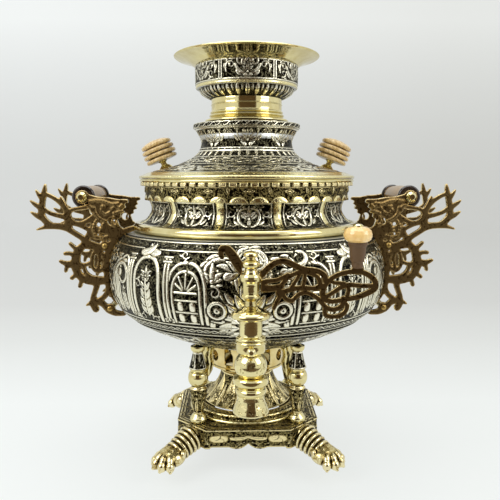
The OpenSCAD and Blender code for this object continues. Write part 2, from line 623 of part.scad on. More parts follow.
foot_scrolls = [
  [[7, -8, 6], [10, -19, 5.5], [13, -28, 5.5], [13, -36, 7], [10, -42, 7]],
  [[21, -37, 1.5], [16, -34, 4], [11, -33, 4.5]],
  [[-5, -10, 6], [-5, -19, 5.5], [0, -27, 5.5], [9, -33, 6]],
  [[8, -33, 5.5], [1, -36, 6], [-5, -43, 6.5], [-15, -47, 6], [-23, -47, 4.5], [-28, -43, 3.5]]];
stag_head = [[14, 88], [5, 91], [-8, 90], [-19, 88], [-30, 88], [-31, 85], [-25, 83], [-28, 79], [-22, 77], [-27, 73],
  [-21, 72], [-22, 67], [-17, 66], [-20, 57], [-11, 53], [-2, 52], [6, 54], [8, 65], [11, 74], [14, 80]];
head_holes = [[14, 73, 8], [-11, 63, 10], [4, 59, 6]];
grip_at = [22, 91];
high_stay = [4, 34];
low_stay = [-5, -41];
// A stay lies against the bulge at its own height, clear of it by the lift gap along the bulge's normal
function stay_x(z) = let (here = bulge_pt(bulge_angle(z)), lean = here - bulge_pt(bulge_angle(z) + 0.5))
  here.x - belly_r + (stay_d / 2 + lift_gap) * norm(lean) / abs(lean.y);

module at_bosses() {
  for (s = [high_stay, low_stay]) translate([stay_x(s.y), s.y]) children();
}
module handle_outline() difference() {
  union() {
    casting() {
      for (g = [antler, neck_strands, fan, foot_scrolls], s = g) strand(s);
      strand(belly_strand);
      strand([concat(grip_at, [7]), [14, 90, 7], [4, 87, 7]]);
      polygon(stag_head);
      at_bosses() circle(d = stay_d + 3, $fn = 24);
    }
    translate(grip_at) circle(d = 15, $fn = 32);
  }
  for (h = head_holes) translate(flat(h)) circle(d = h.z, $fn = 20);
}
// Outline on the left side: outwards is -X
module handle_plate() difference() {
  translate([-belly_r, plate_t / 2, mid_z]) mirror([1, 0, 0]) rotate([90, 0, 0])
    linear_extrude(plate_t) handle_outline();
  translate([-belly_r - grip_at.x, 0, mid_z + grip_at.y]) rotate([90, 0, 0])
    cylinder(d = rod_d + 2 * run_gap, h = plate_t + 2, center = true);
  translate([-belly_r, 0, mid_z]) mirror([1, 0, 0]) rotate([90, 0, 0]) at_bosses()
    cylinder(d = stay_screw_d + 2 * run_gap, h = plate_t + 2, center = true);
}
module fitted_plate(s) color("sienna") difference() {
  translate([0, s * plate_off, 0]) handle_plate();
  belly_solid(seat_gap);
  translate([0, 0, shoulder_z - 1]) cylinder(d = shoulder_d + 2 * seat_gap, h = shoulder_h + 2);
}
module handle_left_front() fitted_plate(-1);
module handle_left_back() fitted_plate(1);
module handle_right_front() mirror([1, 0, 0]) fitted_plate(-1);
module handle_right_back() mirror([1, 0, 0]) fitted_plate(1);

grip_l = 2 * plate_off - plate_t;
module at_grip(s) translate([s * (belly_r + grip_at.x), 0, mid_z + grip_at.y]) rotate([90, 0, 0]) children();
module grip() translate([0, 0, -grip_l / 2]) difference() {
  turned(concat([[0, 0]], smooth([[grip_d / 2 - 1.5, 0], [grip_d / 2, 4], [grip_d / 2 + 1, grip_l * 0.3],
    [grip_d / 2 + 1.5, grip_l / 2], [grip_d / 2 + 1, grip_l * 0.7], [grip_d / 2, grip_l - 4],
    [grip_d / 2 - 1.5, grip_l]], 3), [[0, grip_l]]));
  translate([0, 0, -1]) cylinder(d = rod_d + 2 * run_gap, h = grip_l + 2);
}
module grip_left() color("black") at_grip(-1) grip();
module grip_right() color("black") at_grip(1) grip();
module grip_rods() color("goldenrod") for (s = [-1, 1]) at_grip(s)
  cylinder(d = rod_d, h = grip_l + 2 * plate_t + 8, center = true);
module grip_nuts() color("goldenrod") for (s = [-1, 1]) at_grip(s) for (m = [0, 1]) mirror([0, 0, m])
  translate([0, 0, grip_l / 2 + plate_t]) difference() {
    turned([[0, 0], [rod_nut_d / 2, 0], [rod_nut_d / 2, 1.6], [rod_nut_d / 2 - 1.6, 3.4], [3.6, 4.6], [3, 6], [0, 6]]);
    translate([0, 0, -1]) cylinder(d = rod_d + 2 * run_gap, h = 5 + run_gap);
  }
module at_stays() for (s = [-1, 1]) scale([s, 1, 1]) translate([belly_r, 0, mid_z]) rotate([90, 0, 0])
  at_bosses() children();
module handle_stays() color("goldenrod") at_stays() difference() {
  cylinder(d = stay_d, h = grip_l, center = true);
  for (m = [0, 1]) mirror([0, 0, m]) translate([0, 0, grip_l / 2 - 12]) cylinder(d = stay_screw_d, h = 14);
}
module stay_screws() color("goldenrod") at_stays() for (m = [0, 1]) mirror([0, 0, m])
  translate([0, 0, grip_l / 2 + plate_t]) {
    turned(dome(stay_screw_d * 0.85, 2));
    translate([0, 0, -plate_t - 10]) cylinder(d = stay_screw_d - 2 * run_gap, h = plate_t + 10);
  }

// ---------------------------------------------------------------- tap

module tap_escutcheon() color("khaki") difference() {
  translate([0, -belly_r + 24, tap_z]) rotate([90, 0, 0])
    turned([[0, 0], [escutcheon_d / 2, 0], [escutcheon_d / 2, 20], [escutcheon_d / 2 - 3, 22.5],
      [pipe_d / 2 + 6, 24.5], [pipe_d / 2 + 3, 28], [0, 28]]);
  belly_solid(seat_gap);
  translate([0, 0, tap_z]) rotate([90, 0, 0]) cylinder(d = pipe_d + 2 * run_gap, h = belly_r + 20);
  translate([0, tap_y, valve_top - lift_gap]) cylinder(d = bonnet_d + 2 * lift_gap, h = bonnet_h);
}
valve_top = tap_z + valve_up;
valve_foot = tap_z - valve_down;
module tap_body() color("palegoldenrod") difference() {
  union() {
    translate([0, tap_y, valve_foot]) turned([[0, 0], [valve_d / 2 + 3.3, 0], [valve_d / 2 + 3.3, 3],
      [valve_d / 2 + 1.5, 4.5], [valve_d / 2, 5], [valve_d / 2, valve_top - valve_foot], [0, valve_top - valve_foot]]);
    translate([0, tap_y, tap_z]) rotate([-90, 0, 0]) cylinder(d = pipe_d, h = tap_reach + 28);
  }
  translate([0, tap_y, tap_z]) rotate([-90, 0, 0]) cylinder(d = water_d, h = -tap_y);
  translate([0, tap_y, valve_foot + 2]) cylinder(d = plug_d + 2 * run_gap, h = valve_top);
  translate([0, tap_y, valve_foot - 1]) cylinder(d = water_d, h = 5);
}
module tap_backnut() color("goldenrod") difference() {
  intersection() {
    translate([0, 24 - belly_r, tap_z]) rotate([90, 0, 0]) cylinder(r = pipe_d * 0.85, h = 30, $fn = 6);
    belly_cavity(seat_gap);
  }
  translate([0, 0, tap_z]) rotate([90, 0, 0]) cylinder(d = pipe_d + 2 * run_gap, h = belly_r);
}
// Spout: flange, tube, ball, waist and bell, turned round its bore
module tap_spout() color("palegoldenrod") translate([0, tap_y, 0]) difference() {
  t = valve_foot;
  k = (t - outlet_z) / 72;
  bell = [[0, 0], [17, 0], [17.6, 2.5], [16, 7], [13.6, 13], [13.2, 18], [14.8, 20], [14.8, 24.5], [14, 26.5],
    [17.2, 30], [17.2, 35.5], [16, 36.5]];
  ball = [for (a = [-36:14:48]) [15.8 * cos(a), 47 + 15.8 * sin(a)]];
  tube = [[11, 61], [14, 63], [14, 68.5], [15, 70], [14, 72], [0, 72]];
  turned([for (p = concat(bell, ball, tube)) [p.x * k, outlet_z + p.y * k]]);
  translate([0, 0, outlet_z - 1]) cylinder(d = spout_bore_d, h = t - outlet_z - 4);
  cylinder(d = water_d, h = t + 1);
  translate([0, -14, t - 7]) rotate([90, 0, 0]) cylinder(d = 5, h = 10);
}
module tap_bead() color("gold") translate([0, tap_y - 14, valve_foot - 7]) rotate([90, 0, 0])
  turned([[0, 0], [2.45, 0], [2.45, 1.9], [4, 1.9], [4.4, 4], [3.6, 6], [2, 7], [0, 7]]);
module tap_bonnet() color("palegoldenrod") translate([0, tap_y, valve_top]) difference() {
  r = bonnet_d / 2;
  turned([[0, 0], [r - 2, 0], [r, 2], [r, 4.5], [r - 3, bonnet_h * 0.58], [r * 0.5, bonnet_h * 0.86],
    [spindle_d / 2 + 3, bonnet_h], [0, bonnet_h]]);
  translate([0, 0, -1]) cylinder(d = spindle_d + 2 * run_gap, h = bonnet_h + 2);
}

// Key: plug with an angled port, hub, finial, openwork lever with its knob
hub_z = valve_top + bonnet_h + lift_gap;
module key_plug() color("goldenrod") translate([0, tap_y, 0]) difference() {
  union() {
    translate([0, 0, valve_foot + 2 + lift_gap]) cylinder(d = plug_d, h = valve_top - valve_foot - 2 - 2 * lift_gap);
    translate([0, 0, valve_top - 2]) cylinder(d = spindle_d, h = hub_z - valve_top + 2 + hub_h + 5);
  }
  translate([0, 0, valve_foot]) cylinder(d = water_d * 0.85, h = valve_down);
  translate([0, 0, tap_z]) rotate([0, -90, 0]) cylinder(d = water_d * 0.85, h = plug_d);
}
hub_r = plug_d / 2 + 1;
module key_hub() color("palegoldenrod") translate([0, tap_y, hub_z]) difference() {
  turned([[0, 0], [hub_r - 2, 0], [hub_r - 2.6, 5], [hub_r - 0.6, 7.5], [hub_r + 1.4, 8.6], [hub_r + 1.4, 10.4],
    [hub_r, 11.5], [hub_r, 20], [hub_r + 1, 23], [hub_r + 2.4, 24.5], [hub_r + 2.4, hub_h - 2], [hub_r + 1, hub_h],
    [0, hub_h]]);
  translate([0, 0, -1]) cylinder(d = spindle_d + 2 * run_gap, h = hub_h + 2);
}
module key_finial() color("palegoldenrod") translate([0, tap_y, hub_z + hub_h]) difference() {
  turned([[0, 0], [7, 0], [5.6, 3], [5.6, 5.5], [8.4, 7], [9, 9], [8.6, 11], [5.4, 13], [4.4, 15], [7, 16.4], [7, 19.4],
    [3, 21.4], [0, 22]]);
  translate([0, 0, -1]) cylinder(d = spindle_d + 2 * run_gap, h = 6.5);
}
// Strands of the lever, [outwards from the key's axis, up from the hub's barrel, width]
lever_strands = [
  [[6, 8, 5.5], [13, 15, 4.5], [22, 23, 4], [32, 25, 4], [41, 21, 4], [51, 17, 3.5], [61, 16, 3.5], [69, 12, 4], [71, 6, 4]],
  [[7, 3, 4.5], [16, 6, 3], [25, 7, 2.5], [35, 12, 2.5]],
  [[26, -6, 4], [28, 1, 2.5], [35, 9, 2.5], [44, 14, 2.5], [54, 14, 2.5], [63, 10, 2.5], [66, 3, 3], [63, -1, 3],
    [54, -1, 3], [44, -1, 3], [35, -3, 3], [26, -6, 4]],
  [[7, 0, 6.5], [14, -1, 5.5], [21, -1, 4.5], [29, 1, 4]],
  [[38, -1, 2], [43, 7, 2], [47, 14, 2]],
  [[49, 0, 2], [51, 8, 2], [51, 14, 2]],
  [[68, -6, 4], [70, 1, 3], [76, 8, 3], [86, 13, 3], [99, 15, 3], [109, 13, 3.5], [117, 7, 4], [119, 0, 4], [113, -5, 4],
    [101, -10, 3.5], [89, -12, 3], [77, -14, 3], [70, -11, 4], [68, -6, 4]],
  [[64, 0, 4], [70, 1, 4]],
  [[72, -9, 2.5], [77, -6, 2.5], [86, 0, 3], [95, 2, 3], [105, 1, 2.5], [116, 1, 2.5]],
  [[75, 6, 2], [80, 4, 2], [89, 3, 2.5], [93, -2, 2.5], [91, -11, 2.5]],
  [[30, -5, 3], [25, -13, 2.5], [22, -20, 2.5]],
  [[30, -5, 3], [33, -11, 2.5], [39, -13, 2.5], [44, -8, 2.5], [51, -5, 2.5], [58, -7, 2.5], [65, -12, 3], [71, -19, 3],
    [79, -22, 3], [87, -18, 3], [88, -11, 3]],
  [[66, -13, 3], [71, -12, 3]],
  [[71, -19, 2.5], [71, -27, 2.5], [81, -29, 3], [89, -25, 3], [92, -18, 2.5], [87, -13, 2.5]],
  [[51, -5, 2.5], [52, -1, 3]]];
counter_arm = [[-27, 29, 2.5], [-28.5, 33, 4], [-26.5, 37, 5], [-22, 36, 6.5], [-17, 30, 7.5], [-12, 22, 7.5],
  [-8, 16, 6.5], [-4, 10, 5]];
lever_z = hub_z + 18;
knob_at = [101, 16];
module key_lever() color("peru") translate([0, tap_y, 0]) difference() {
  translate([0, lever_t / 2, lever_z]) rotate([90, 0, 0]) linear_extrude(lever_t) {
    casting() {
      for (s = lever_strands) strand(s);
      translate(knob_at) square([10, 6], center = true);
    }
    casting() strand(counter_arm);
  }
  translate([0, 0, hub_z + hub_h]) cylinder(r = 9 + seat_gap, h = 30);
  translate([0, 0, hub_z - 1]) cylinder(r = hub_r + 2.4 + seat_gap, h = hub_h + 1 + seat_gap);
  translate([knob_at.x, 0, lever_z + knob_at.y + 2]) cylinder(r = 6, h = 20);
}
module on_lever() translate([knob_at.x, tap_y, lever_z + knob_at.y + 2]) children();
module key_knob_post() color("saddlebrown") on_lever() {
  turned([[0, 0], [5, 0], [5.4, 2], [5.4, 5], [6.6, 7], [7.4, 12], [8, 20], [9.4, 23], [9.4, 25], [0, 25]]);
  cylinder(r = 3, h = 36);
}
module key_knob() color("burlywood") on_lever() translate([0, 0, 25]) difference() {
  r = lever_knob_d / 2;
  turned([[0, 0], [r - 4, 0], [r - 1.2, 2], [r, 5], [r, 8], [r - 1, 11], [r - 4, 13.5], [r - 8, 14.5], [0, 14.5]]);
  translate([0, 0, -1]) cylinder(r = 3 + seat_gap, h = 12.5);
}
module key_knob_cap() color("gold") on_lever() translate([0, 0, 39.5])
  turned([[0, 0], [5, 0], [5, 1], [3.4, 2.2], [0, 2.6]]);

base_plate();
foot_front_left();
foot_front_right();
foot_back_left();
foot_back_right();
foot_screws();
plinth_ring();
pedestal_bell();
air_collar();
post_front_left();
post_front_right();
post_back_left();
post_back_right();
post_brackets();
post_nuts();
belly_shell();
shoulder_ring();
neck_band();
frieze_band();
rim_ring();
fire_tube();
grate();
lid_cover();
lid_collar();
lid_knob_stems();
lid_knob_left();
lid_knob_right();
crown_neck();
crown_cup();
crown_dish();
handle_left_front();
handle_left_back();
handle_right_front();
handle_right_back();
grip_left();
grip_right();
grip_rods();
grip_nuts();
handle_stays();
stay_screws();
tap_escutcheon();
tap_body();
tap_backnut();
tap_spout();
tap_bonnet();
tap_bead();
key_plug();
key_hub();
key_lever();
key_finial();
key_knob_post();
key_knob();
key_knob_cap();
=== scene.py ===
# %% [markdown]
# # A charcoal samovar in chased brass
# A samovar is a water urn with a fire tube through its middle. Almost every part of it is turned on a
# lathe or spun over a former, then chased: the ground is punched down and blackened, and the raised
# scrolls are rubbed bright. So this lesson uses two ways of modelling again and again: a profile that
# is spun round an axis, and a relief that is drawn in millimetres and then pressed into the spun skin.
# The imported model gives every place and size, and nothing here moves it.

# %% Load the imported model
import json
import math

import bmesh
import bpy
import numpy as np
from mathutils import Matrix, Vector

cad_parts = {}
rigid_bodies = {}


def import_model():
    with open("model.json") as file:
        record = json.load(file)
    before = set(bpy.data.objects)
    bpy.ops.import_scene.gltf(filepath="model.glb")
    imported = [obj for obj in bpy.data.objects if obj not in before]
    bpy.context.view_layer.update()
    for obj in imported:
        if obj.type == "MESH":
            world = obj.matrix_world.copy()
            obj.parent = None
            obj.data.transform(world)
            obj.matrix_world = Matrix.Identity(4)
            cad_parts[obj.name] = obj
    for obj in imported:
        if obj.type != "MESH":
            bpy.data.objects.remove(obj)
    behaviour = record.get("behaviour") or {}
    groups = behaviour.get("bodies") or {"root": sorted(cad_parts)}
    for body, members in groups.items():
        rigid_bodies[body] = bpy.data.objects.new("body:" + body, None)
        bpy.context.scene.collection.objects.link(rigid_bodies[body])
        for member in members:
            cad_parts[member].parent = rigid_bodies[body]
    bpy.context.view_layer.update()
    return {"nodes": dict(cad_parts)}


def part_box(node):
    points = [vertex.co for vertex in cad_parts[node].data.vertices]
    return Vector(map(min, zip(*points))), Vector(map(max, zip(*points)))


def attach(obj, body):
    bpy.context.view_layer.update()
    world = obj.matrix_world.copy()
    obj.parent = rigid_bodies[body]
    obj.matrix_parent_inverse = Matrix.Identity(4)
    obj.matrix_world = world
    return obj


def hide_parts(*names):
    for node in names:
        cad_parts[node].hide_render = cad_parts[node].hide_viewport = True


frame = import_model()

MM = 0.001
print("pieces in the frame:", len(frame["nodes"]))

# %% [markdown]
# ## Reading sizes from the model
# A lathe drawing starts from heights and radii. Both come from a node's box, so that each new piece
# lies exactly where the model has it. All the drawing below is in millimetres.

# %% Heights and radii of a node
def low(node):
    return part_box(node)[0].z / MM


def high(node):
    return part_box(node)[1].z / MM


def radius(node):
    return (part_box(node)[1].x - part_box(node)[0].x) / 2 / MM


def middle(node):
    return (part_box(node)[0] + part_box(node)[1]) / 2 / MM


print("belly from", round(low("belly_shell")), "to", round(high("belly_shell")), "mm")

# %% Sizes that several pieces share
WALL = 2             # thickness of the spun sheet
BELLY_RADIUS = 170
THROAT = 112         # radius of the mouth under the lid
CHIMNEY_HOLE = 38.5  # radius of the hole for the chimney in lid, collar and crown neck
CROWN_NECK = 43      # outer radius of the crown's neck
LID_SPIGOT = 4       # how far the lid reaches down into the rim

# %% [markdown]
# ## The camera
# The lens is a short telephoto a little above the lid's flange, so the underside of the crown and the
# top of the base plate both show. It stands slightly to the left of the tap.

# %% Camera
EYE = Vector((-15, -750, 330)) * MM
LENS_MM = 43.2
PITCH_DOWN = 6.84
YAW_RIGHT = 1.46

camera = bpy.data.objects.new("camera", bpy.data.cameras.new("camera"))
camera.data.lens = LENS_MM
camera.data.sensor_width = 36
camera.data.clip_start = 0.01
camera.location = EYE
camera.rotation_euler = (math.radians(90 - PITCH_DOWN), 0, math.radians(-YAW_RIGHT))
bpy.context.scene.collection.objects.link(camera)
bpy.context.scene.camera = camera
bpy.context.scene.view_settings.view_transform = "Standard"

# %% [markdown]
# ## A helper for shader nodes
# One small function adds a node, sets what it is told and links its inputs. Colours are written as
# they look on a screen, in sRGB, and turned into the linear numbers that the renderer adds up.

# %% Colours and nodes
def linear(code):
    channels = [int(code[i:i + 2], 16) / 255 for i in (1, 3, 5)]
    return (*[c / 12.92 if c <= 0.04045 else ((c + 0.055) / 1.055) ** 2.4 for c in channels], 1)


def new_material(name):
    material = bpy.data.materials.new(name)
    material.use_nodes = True
    material.node_tree.nodes.clear()
    return material


def add(material, kind, settings=None, **links):
    node = material.node_tree.nodes.new("ShaderNode" + kind)
    for key, value in (settings or {}).items():
        if isinstance(key, str) and hasattr(node, key):
            setattr(node, key, value)
        else:
            node.inputs[key].default_value = value
    for key, source in links.items():
        target = node.inputs[int(key[1:])] if key[1:].isdigit() else node.inputs[key.replace("_", " ")]
        output = source if isinstance(source, bpy.types.NodeSocket) else source.outputs[0]
        material.node_tree.links.new(output, target)
    return node


def ramp(material, source, stops):
    node = add(material, "ValToRGB", i0=source)
    while len(node.color_ramp.elements) < len(stops):
        node.color_ramp.elements.new(0.5)
    for element, (place, value) in zip(node.color_ramp.elements, stops):
        element.position = place
        element.color = linear(value) if isinstance(value, str) else (value, value, value, 1)
    return node


def finish_material(material, shader):
    add(material, "OutputMaterial", Surface=shader)
    return material


# %% [markdown]
# ## Polished brass
# Cast yellow brass, lathe-turned and buffed. It is a metal with hardly any roughness, so what the eye
# sees is the room in it. Buffing leaves faint cloudiness: a slow noise of about 12 mm moves the
# roughness, and one of 3 mm gives the ripple of a hand-held buff.

# %% Polished brass
def polished_brass(name, colour, dull, roughness=(0.05, 0.16), ripple=0.05):
    material = new_material(name)
    place = add(material, "TexCoord").outputs["Object"]
    cloud = add(material, "TexNoise", {"Scale": 80.0, "Detail": 3.0}, Vector=place)
    grain = add(material, "TexNoise", {"Scale": 330.0, "Detail": 2.0}, Vector=place)
    tone = ramp(material, cloud, [(0.35, colour), (0.75, dull)])
    rough = ramp(material, cloud, [(0.3, roughness[0]), (0.8, roughness[1])])
    bump = add(material, "Bump", {"Strength": ripple, "Distance": 0.001}, Height=grain)
    shader = add(material, "BsdfPrincipled", {"Metallic": 1.0}, Base_Color=tone, Roughness=rough, Normal=bump)
    return finish_material(material, shader)


BRASS_TONE = "#e6daa4"
brass = polished_brass("polished brass", BRASS_TONE, "#d6c588")
warm_brass = polished_brass("warm polished brass", "#e2cf96", "#cdb474")
plain_brass = polished_brass("unpolished brass", "#b79a5c", "#9c8048", (0.3, 0.45), 0.1)
print("materials so far:", len(bpy.data.materials))

# %% [markdown]
# ## Chased brass
# The chaser sinks the ground with punches, and a dark patina stays there when the high parts are
# rubbed. The skin carries two numbers at every point: `edge`, how far the point is inside a raised
# strand, and `dome`, how high it stands. The first one cuts a sharp line between black and bright,
# and the second one makes the flanks of a scroll a little darker than its back, as painted shade. Where
# the metal is left plain, `edge` is higher than any strand can bring it, and the skin is polished brass.

# %% Chased brass
PLAIN_FROM = 1.2      # `edge` above this is plain polished metal


def isolines(material, place, scale, count, width):
    """Thin curling lines: where a slow noise passes through a row of levels."""
    cloud = add(material, "TexNoise", {"Scale": scale, "Detail": 1.0, "Distortion": 0.5}, Vector=place)
    steps = add(material, "Math", {"operation": "MULTIPLY", 1: float(count)}, i0=cloud)
    folds = add(material, "Math", {"operation": "PINGPONG", 1: 1.0}, i0=steps)
    return ramp(material, folds, [(width * 0.6, 1.0), (width, 0.0)])


def chased_brass(name, bright, painted_flank_shade, patina="#060402", curls="#6f6a52", curl_width=0.3):
    material = new_material(name)
    place = add(material, "TexCoord").outputs["Object"]
    edge = add(material, "Attribute", {"attribute_name": "edge"})
    dome = add(material, "Attribute", {"attribute_name": "dome"})
    rub = add(material, "TexNoise", {"Scale": 260.0, "Detail": 4.0, "Roughness": 0.7}, Vector=place)
    jitter = add(material, "Math", {"operation": "MULTIPLY_ADD", 1: 0.22, 2: -0.11}, i0=rub)
    ragged = add(material, "Math", {"operation": "ADD"}, i0=edge.outputs["Fac"], i1=jitter)
    mask = ramp(material, ragged, [(0.46, 0.0), (0.60, 1.0)])
    # Painted shade: the strand's colour darkens from its back down to its flanks, following `dome`.
    shaded_strand_tone = ramp(material, dome.outputs["Fac"], [(0.25, painted_flank_shade), (0.7, bright)])
    lines = isolines(material, place, 210.0, 9, curl_width)
    low_tone = add(material, "MixRGB", {"Color1": linear(patina), "Color2": linear(curls)}, Fac=lines)
    cut = add(material, "MixRGB", {}, Fac=mask, Color1=low_tone, Color2=shaded_strand_tone)
    cut_rough = add(material, "MapRange", {"To Min": 0.5, "To Max": 0.2}, Value=mask)
    plain = add(material, "Math", {"operation": "GREATER_THAN", 1: PLAIN_FROM}, i0=edge.outputs["Fac"])
    tone = add(material, "MixRGB", {"Color2": linear(BRASS_TONE)}, Fac=plain, Color1=cut)
    rough = add(material, "MixRGB", {"Color2": (0.1, 0.1, 0.1, 1)}, Fac=plain, Color1=cut_rough)
    grain = add(material, "TexNoise", {"Scale": 900.0, "Detail": 2.0}, Vector=place)
    fine = add(material, "Math", {"operation": "ADD"}, i0=grain, i1=lines)
    bump = add(material, "Bump", {"Strength": 0.3, "Distance": 0.0003}, Height=fine)
    shader = add(material, "BsdfPrincipled", {"Metallic": 1.0}, Base_Color=tone, Roughness=rough, Normal=bump)
    return finish_material(material, shader)


chased = chased_brass("chased brass with dark patina", "#f3eed8", "#9c9068")
chased_gold = chased_brass("chased brass, warmer", "#ecdca6", "#a08c50", "#120d05", "#958756", 0.46)


def etched_brass(name, line_colour):
    """Polished brass with thin scrolls cut into it by a graver."""
    material = new_material(name)
    place = add(material, "TexCoord").outputs["Object"]
    line = isolines(material, place, 210.0, 6, 0.16)
    cloud = add(material, "TexNoise", {"Scale": 80.0, "Detail": 3.0}, Vector=place)
    tone = add(material, "MixRGB", {"Color1": linear(BRASS_TONE), "Color2": linear(line_colour)}, Fac=line)
    rough = ramp(material, cloud, [(0.3, 0.08), (0.8, 0.2)])
    bump = add(material, "Bump", {"Strength": 0.3, "Distance": 0.0003, "invert": True}, Height=line)
    shader = add(material, "BsdfPrincipled", {"Metallic": 1.0}, Base_Color=tone, Roughness=rough, Normal=bump)
    return finish_material(material, shader)


etched = etched_brass("polished brass with graver's lines", "#8b7440")

# %% [markdown]
# ## Turning on the lathe
# A profile of a few points is spun round the vertical axis. Before the spin, the corners are rounded
# with a vertex bevel, because no turned edge is perfectly sharp and the small round catches the
# light. Long stretches get extra points, which keeps the shading even next to a corner.

# %% Lathe helpers
def curve(points, steps=5):
    """Catmull-Rom curve through the points."""
    p = [np.array(q, float) for q in (points[0], *points, points[-1])]
    out = []
    for a, b, c, d in zip(p, p[1:], p[2:], p[3:]):
        for t in np.arange(steps) / steps:
            out.append(0.5 * (2 * b + (c - a) * t + (2 * a - 5 * b + 4 * c - d) * t ** 2
                              + (3 * b - a - 3 * c + d) * t ** 3))
    return [tuple(q) for q in (*out, p[-1])]


def bead_arc(r, z, size, low_angle=-90, high_angle=90, flat=1.0, steps=8):
    """Half-round bead that bulges outwards from radius r."""
    return [(r + size * flat * math.cos(math.radians(a)), z + size * math.sin(math.radians(a)))
            for a in np.linspace(low_angle, high_angle, steps + 1)]


SHARP_BEND = 25      # a profile point that turns more than this, in degrees, gets a small round


def spun_mesh(profile, steps, corner, longest, closed):
    """Spins a profile, its corners rounded by `corner` mm and no stretch over `longest` mm."""
    bm = bmesh.new()
    points = [bm.verts.new((max(r, 0) * MM, 0, z * MM)) for r, z in profile]
    pairs = list(zip(points, points[1:])) + ([(points[-1], points[0])] if closed else [])
    for pair in pairs:
        bm.edges.new(pair)
    if corner:
        sharp = [v for v in points if len(v.link_edges) == 2 and v.co.x > MM and turn_at(v) > SHARP_BEND]
        bmesh.ops.bevel(bm, geom=sharp, offset=corner * MM, offset_type="OFFSET", segments=3,
                        profile=0.5, affect="VERTICES", clamp_overlap=True, material=-1)
    for edge in [e for e in bm.edges if e.calc_length() > longest * MM]:
        bmesh.ops.subdivide_edges(bm, edges=[edge], cuts=int(edge.calc_length() / (longest * MM)))
    bmesh.ops.spin(bm, geom=bm.verts[:] + bm.edges[:], cent=(0, 0, 0), axis=(0, 0, 1),
                   angle=math.tau, steps=steps, use_merge=True)
    bmesh.ops.remove_doubles(bm, verts=bm.verts, dist=1e-6)
    bmesh.ops.recalc_face_normals(bm, faces=bm.faces)
    return bm


def turn_at(vert):
    """How much a wire turns at a point, in degrees."""
    a, b = [e.other_vert(vert).co - vert.co for e in vert.link_edges]
    if a.length < 1e-9 or b.length < 1e-9:
        return 0
    return 180 - math.degrees(a.angle(b))


def to_object(bm, name, material, place=None):
    if place:
        bmesh.ops.transform(bm, matrix=place, verts=bm.verts)
    mesh = bpy.data.meshes.new(name)
    bm.to_mesh(mesh)
    bm.free()
    mesh.shade_smooth()
    piece = bpy.data.objects.new(name, mesh)
    bpy.context.scene.collection.objects.link(piece)
    mesh.materials.append(material)
    return piece


def seat(piece, body, slot, *nodes):
    """Hands a piece over: the body it rides on and the nodes it stands for; `slot`, its finish, is not used.
    """
    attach(piece, body)
    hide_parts(*nodes)
    print(piece.name, len(piece.data.polygons), "faces")


def turned(name, profile, material, steps=96, place=None, corner=0.4, longest=3.0, closed=True):
    return to_object(spun_mesh(profile, steps, corner, longest, closed), name, material, place)


# %% The crown's dish and neck, polished
def crown_dish():
    z, b, e = low("crown_dish"), radius("crown_cup"), radius("crown_dish")
    under = curve([(b - 0.4, z), (b + 3, z + 1.5), (b + 9, z + 5), (e - 8, z + 8), (e - 2, z + 9.6),
                   (e, z + 11)])
    over = curve([(e - 1, z + 12), (e - 8, z + 10.4), (b + 9, z + 7.4), (b + 2, z + 4.6), (b - 2.2, z + 2),
                  (b - 3, z)])
    seat(turned("crown_dish_spun", under + over, brass, 144), "crown", "brass_polished", "crown_dish")


def crown_neck():
    z, r, top = low("crown_neck"), CROWN_NECK, high("crown_neck")
    profile = [(CHIMNEY_HOLE, z), (r + 7.5, z), *bead_arc(r + 6, z + 2.6, 2.2), (r + 4.4, z + 5.4),
               (r + 2, z + 7.4), *bead_arc(r + 1.2, z + 9.2, 1.5), (r + 0.6, z + 11.2),
               *bead_arc(r + 0.2, z + 13, 1.4), (r, z + 15), (r, z + 21.4),
               *bead_arc(r, z + 22.2, 0.7, flat=0.8), (r, z + 23), (r, top), (r - 3, top), (r - 3, z + 16),
               (CHIMNEY_HOLE, z + 12)]
    neck = turned("crown_neck_turned", profile, brass, 144, corner=0.3)
    seat(neck, "crown", "brass_polished", "crown_neck")


crown_dish()
crown_neck()

# %% Body rings
def shoulder_ring():
    z, r = low("shoulder_ring"), radius("shoulder_ring")
    h = high("shoulder_ring") - z
    profile = [(THROAT, z), (r - 5, z), *bead_arc(r - 6, z + h / 2, h / 2, -80, 80, 1.1, 14),
               (r - 7, z + h), (THROAT, z + h)]
    seat(turned("shoulder_torus", profile, brass, 192), "urn", "brass_polished", "shoulder_ring")


shoulder_ring()

# %% [markdown]
# ## Drawing a relief
# A chased relief is drawn before it is made: the artist lays a scroll over the sheet, and the hammer
# follows it. Here a sheet is a flat drawing in millimetres that wraps round a turned outline. It keeps
# two maps. `edge` is the distance to the nearest outline of a strand, positive inside it, and `dome` is
# the height of the metal, from 0 for the sunk ground to 1 for the back of a strand. Later strands lie
# over earlier ones and cut a narrow gap round themselves, as one leaf passes over another.

# %% The sheet
REACH = 1.2      # how far from an outline its distance is still kept, in mm
PLAIN = 2.4      # stands in the map of distances where the metal is left plain and polished
PLAIN_IN = 0.3   # how far inside a strand's outline its plain metal begins, in mm
BARE = -99.0     # distance where no strand has been measured yet


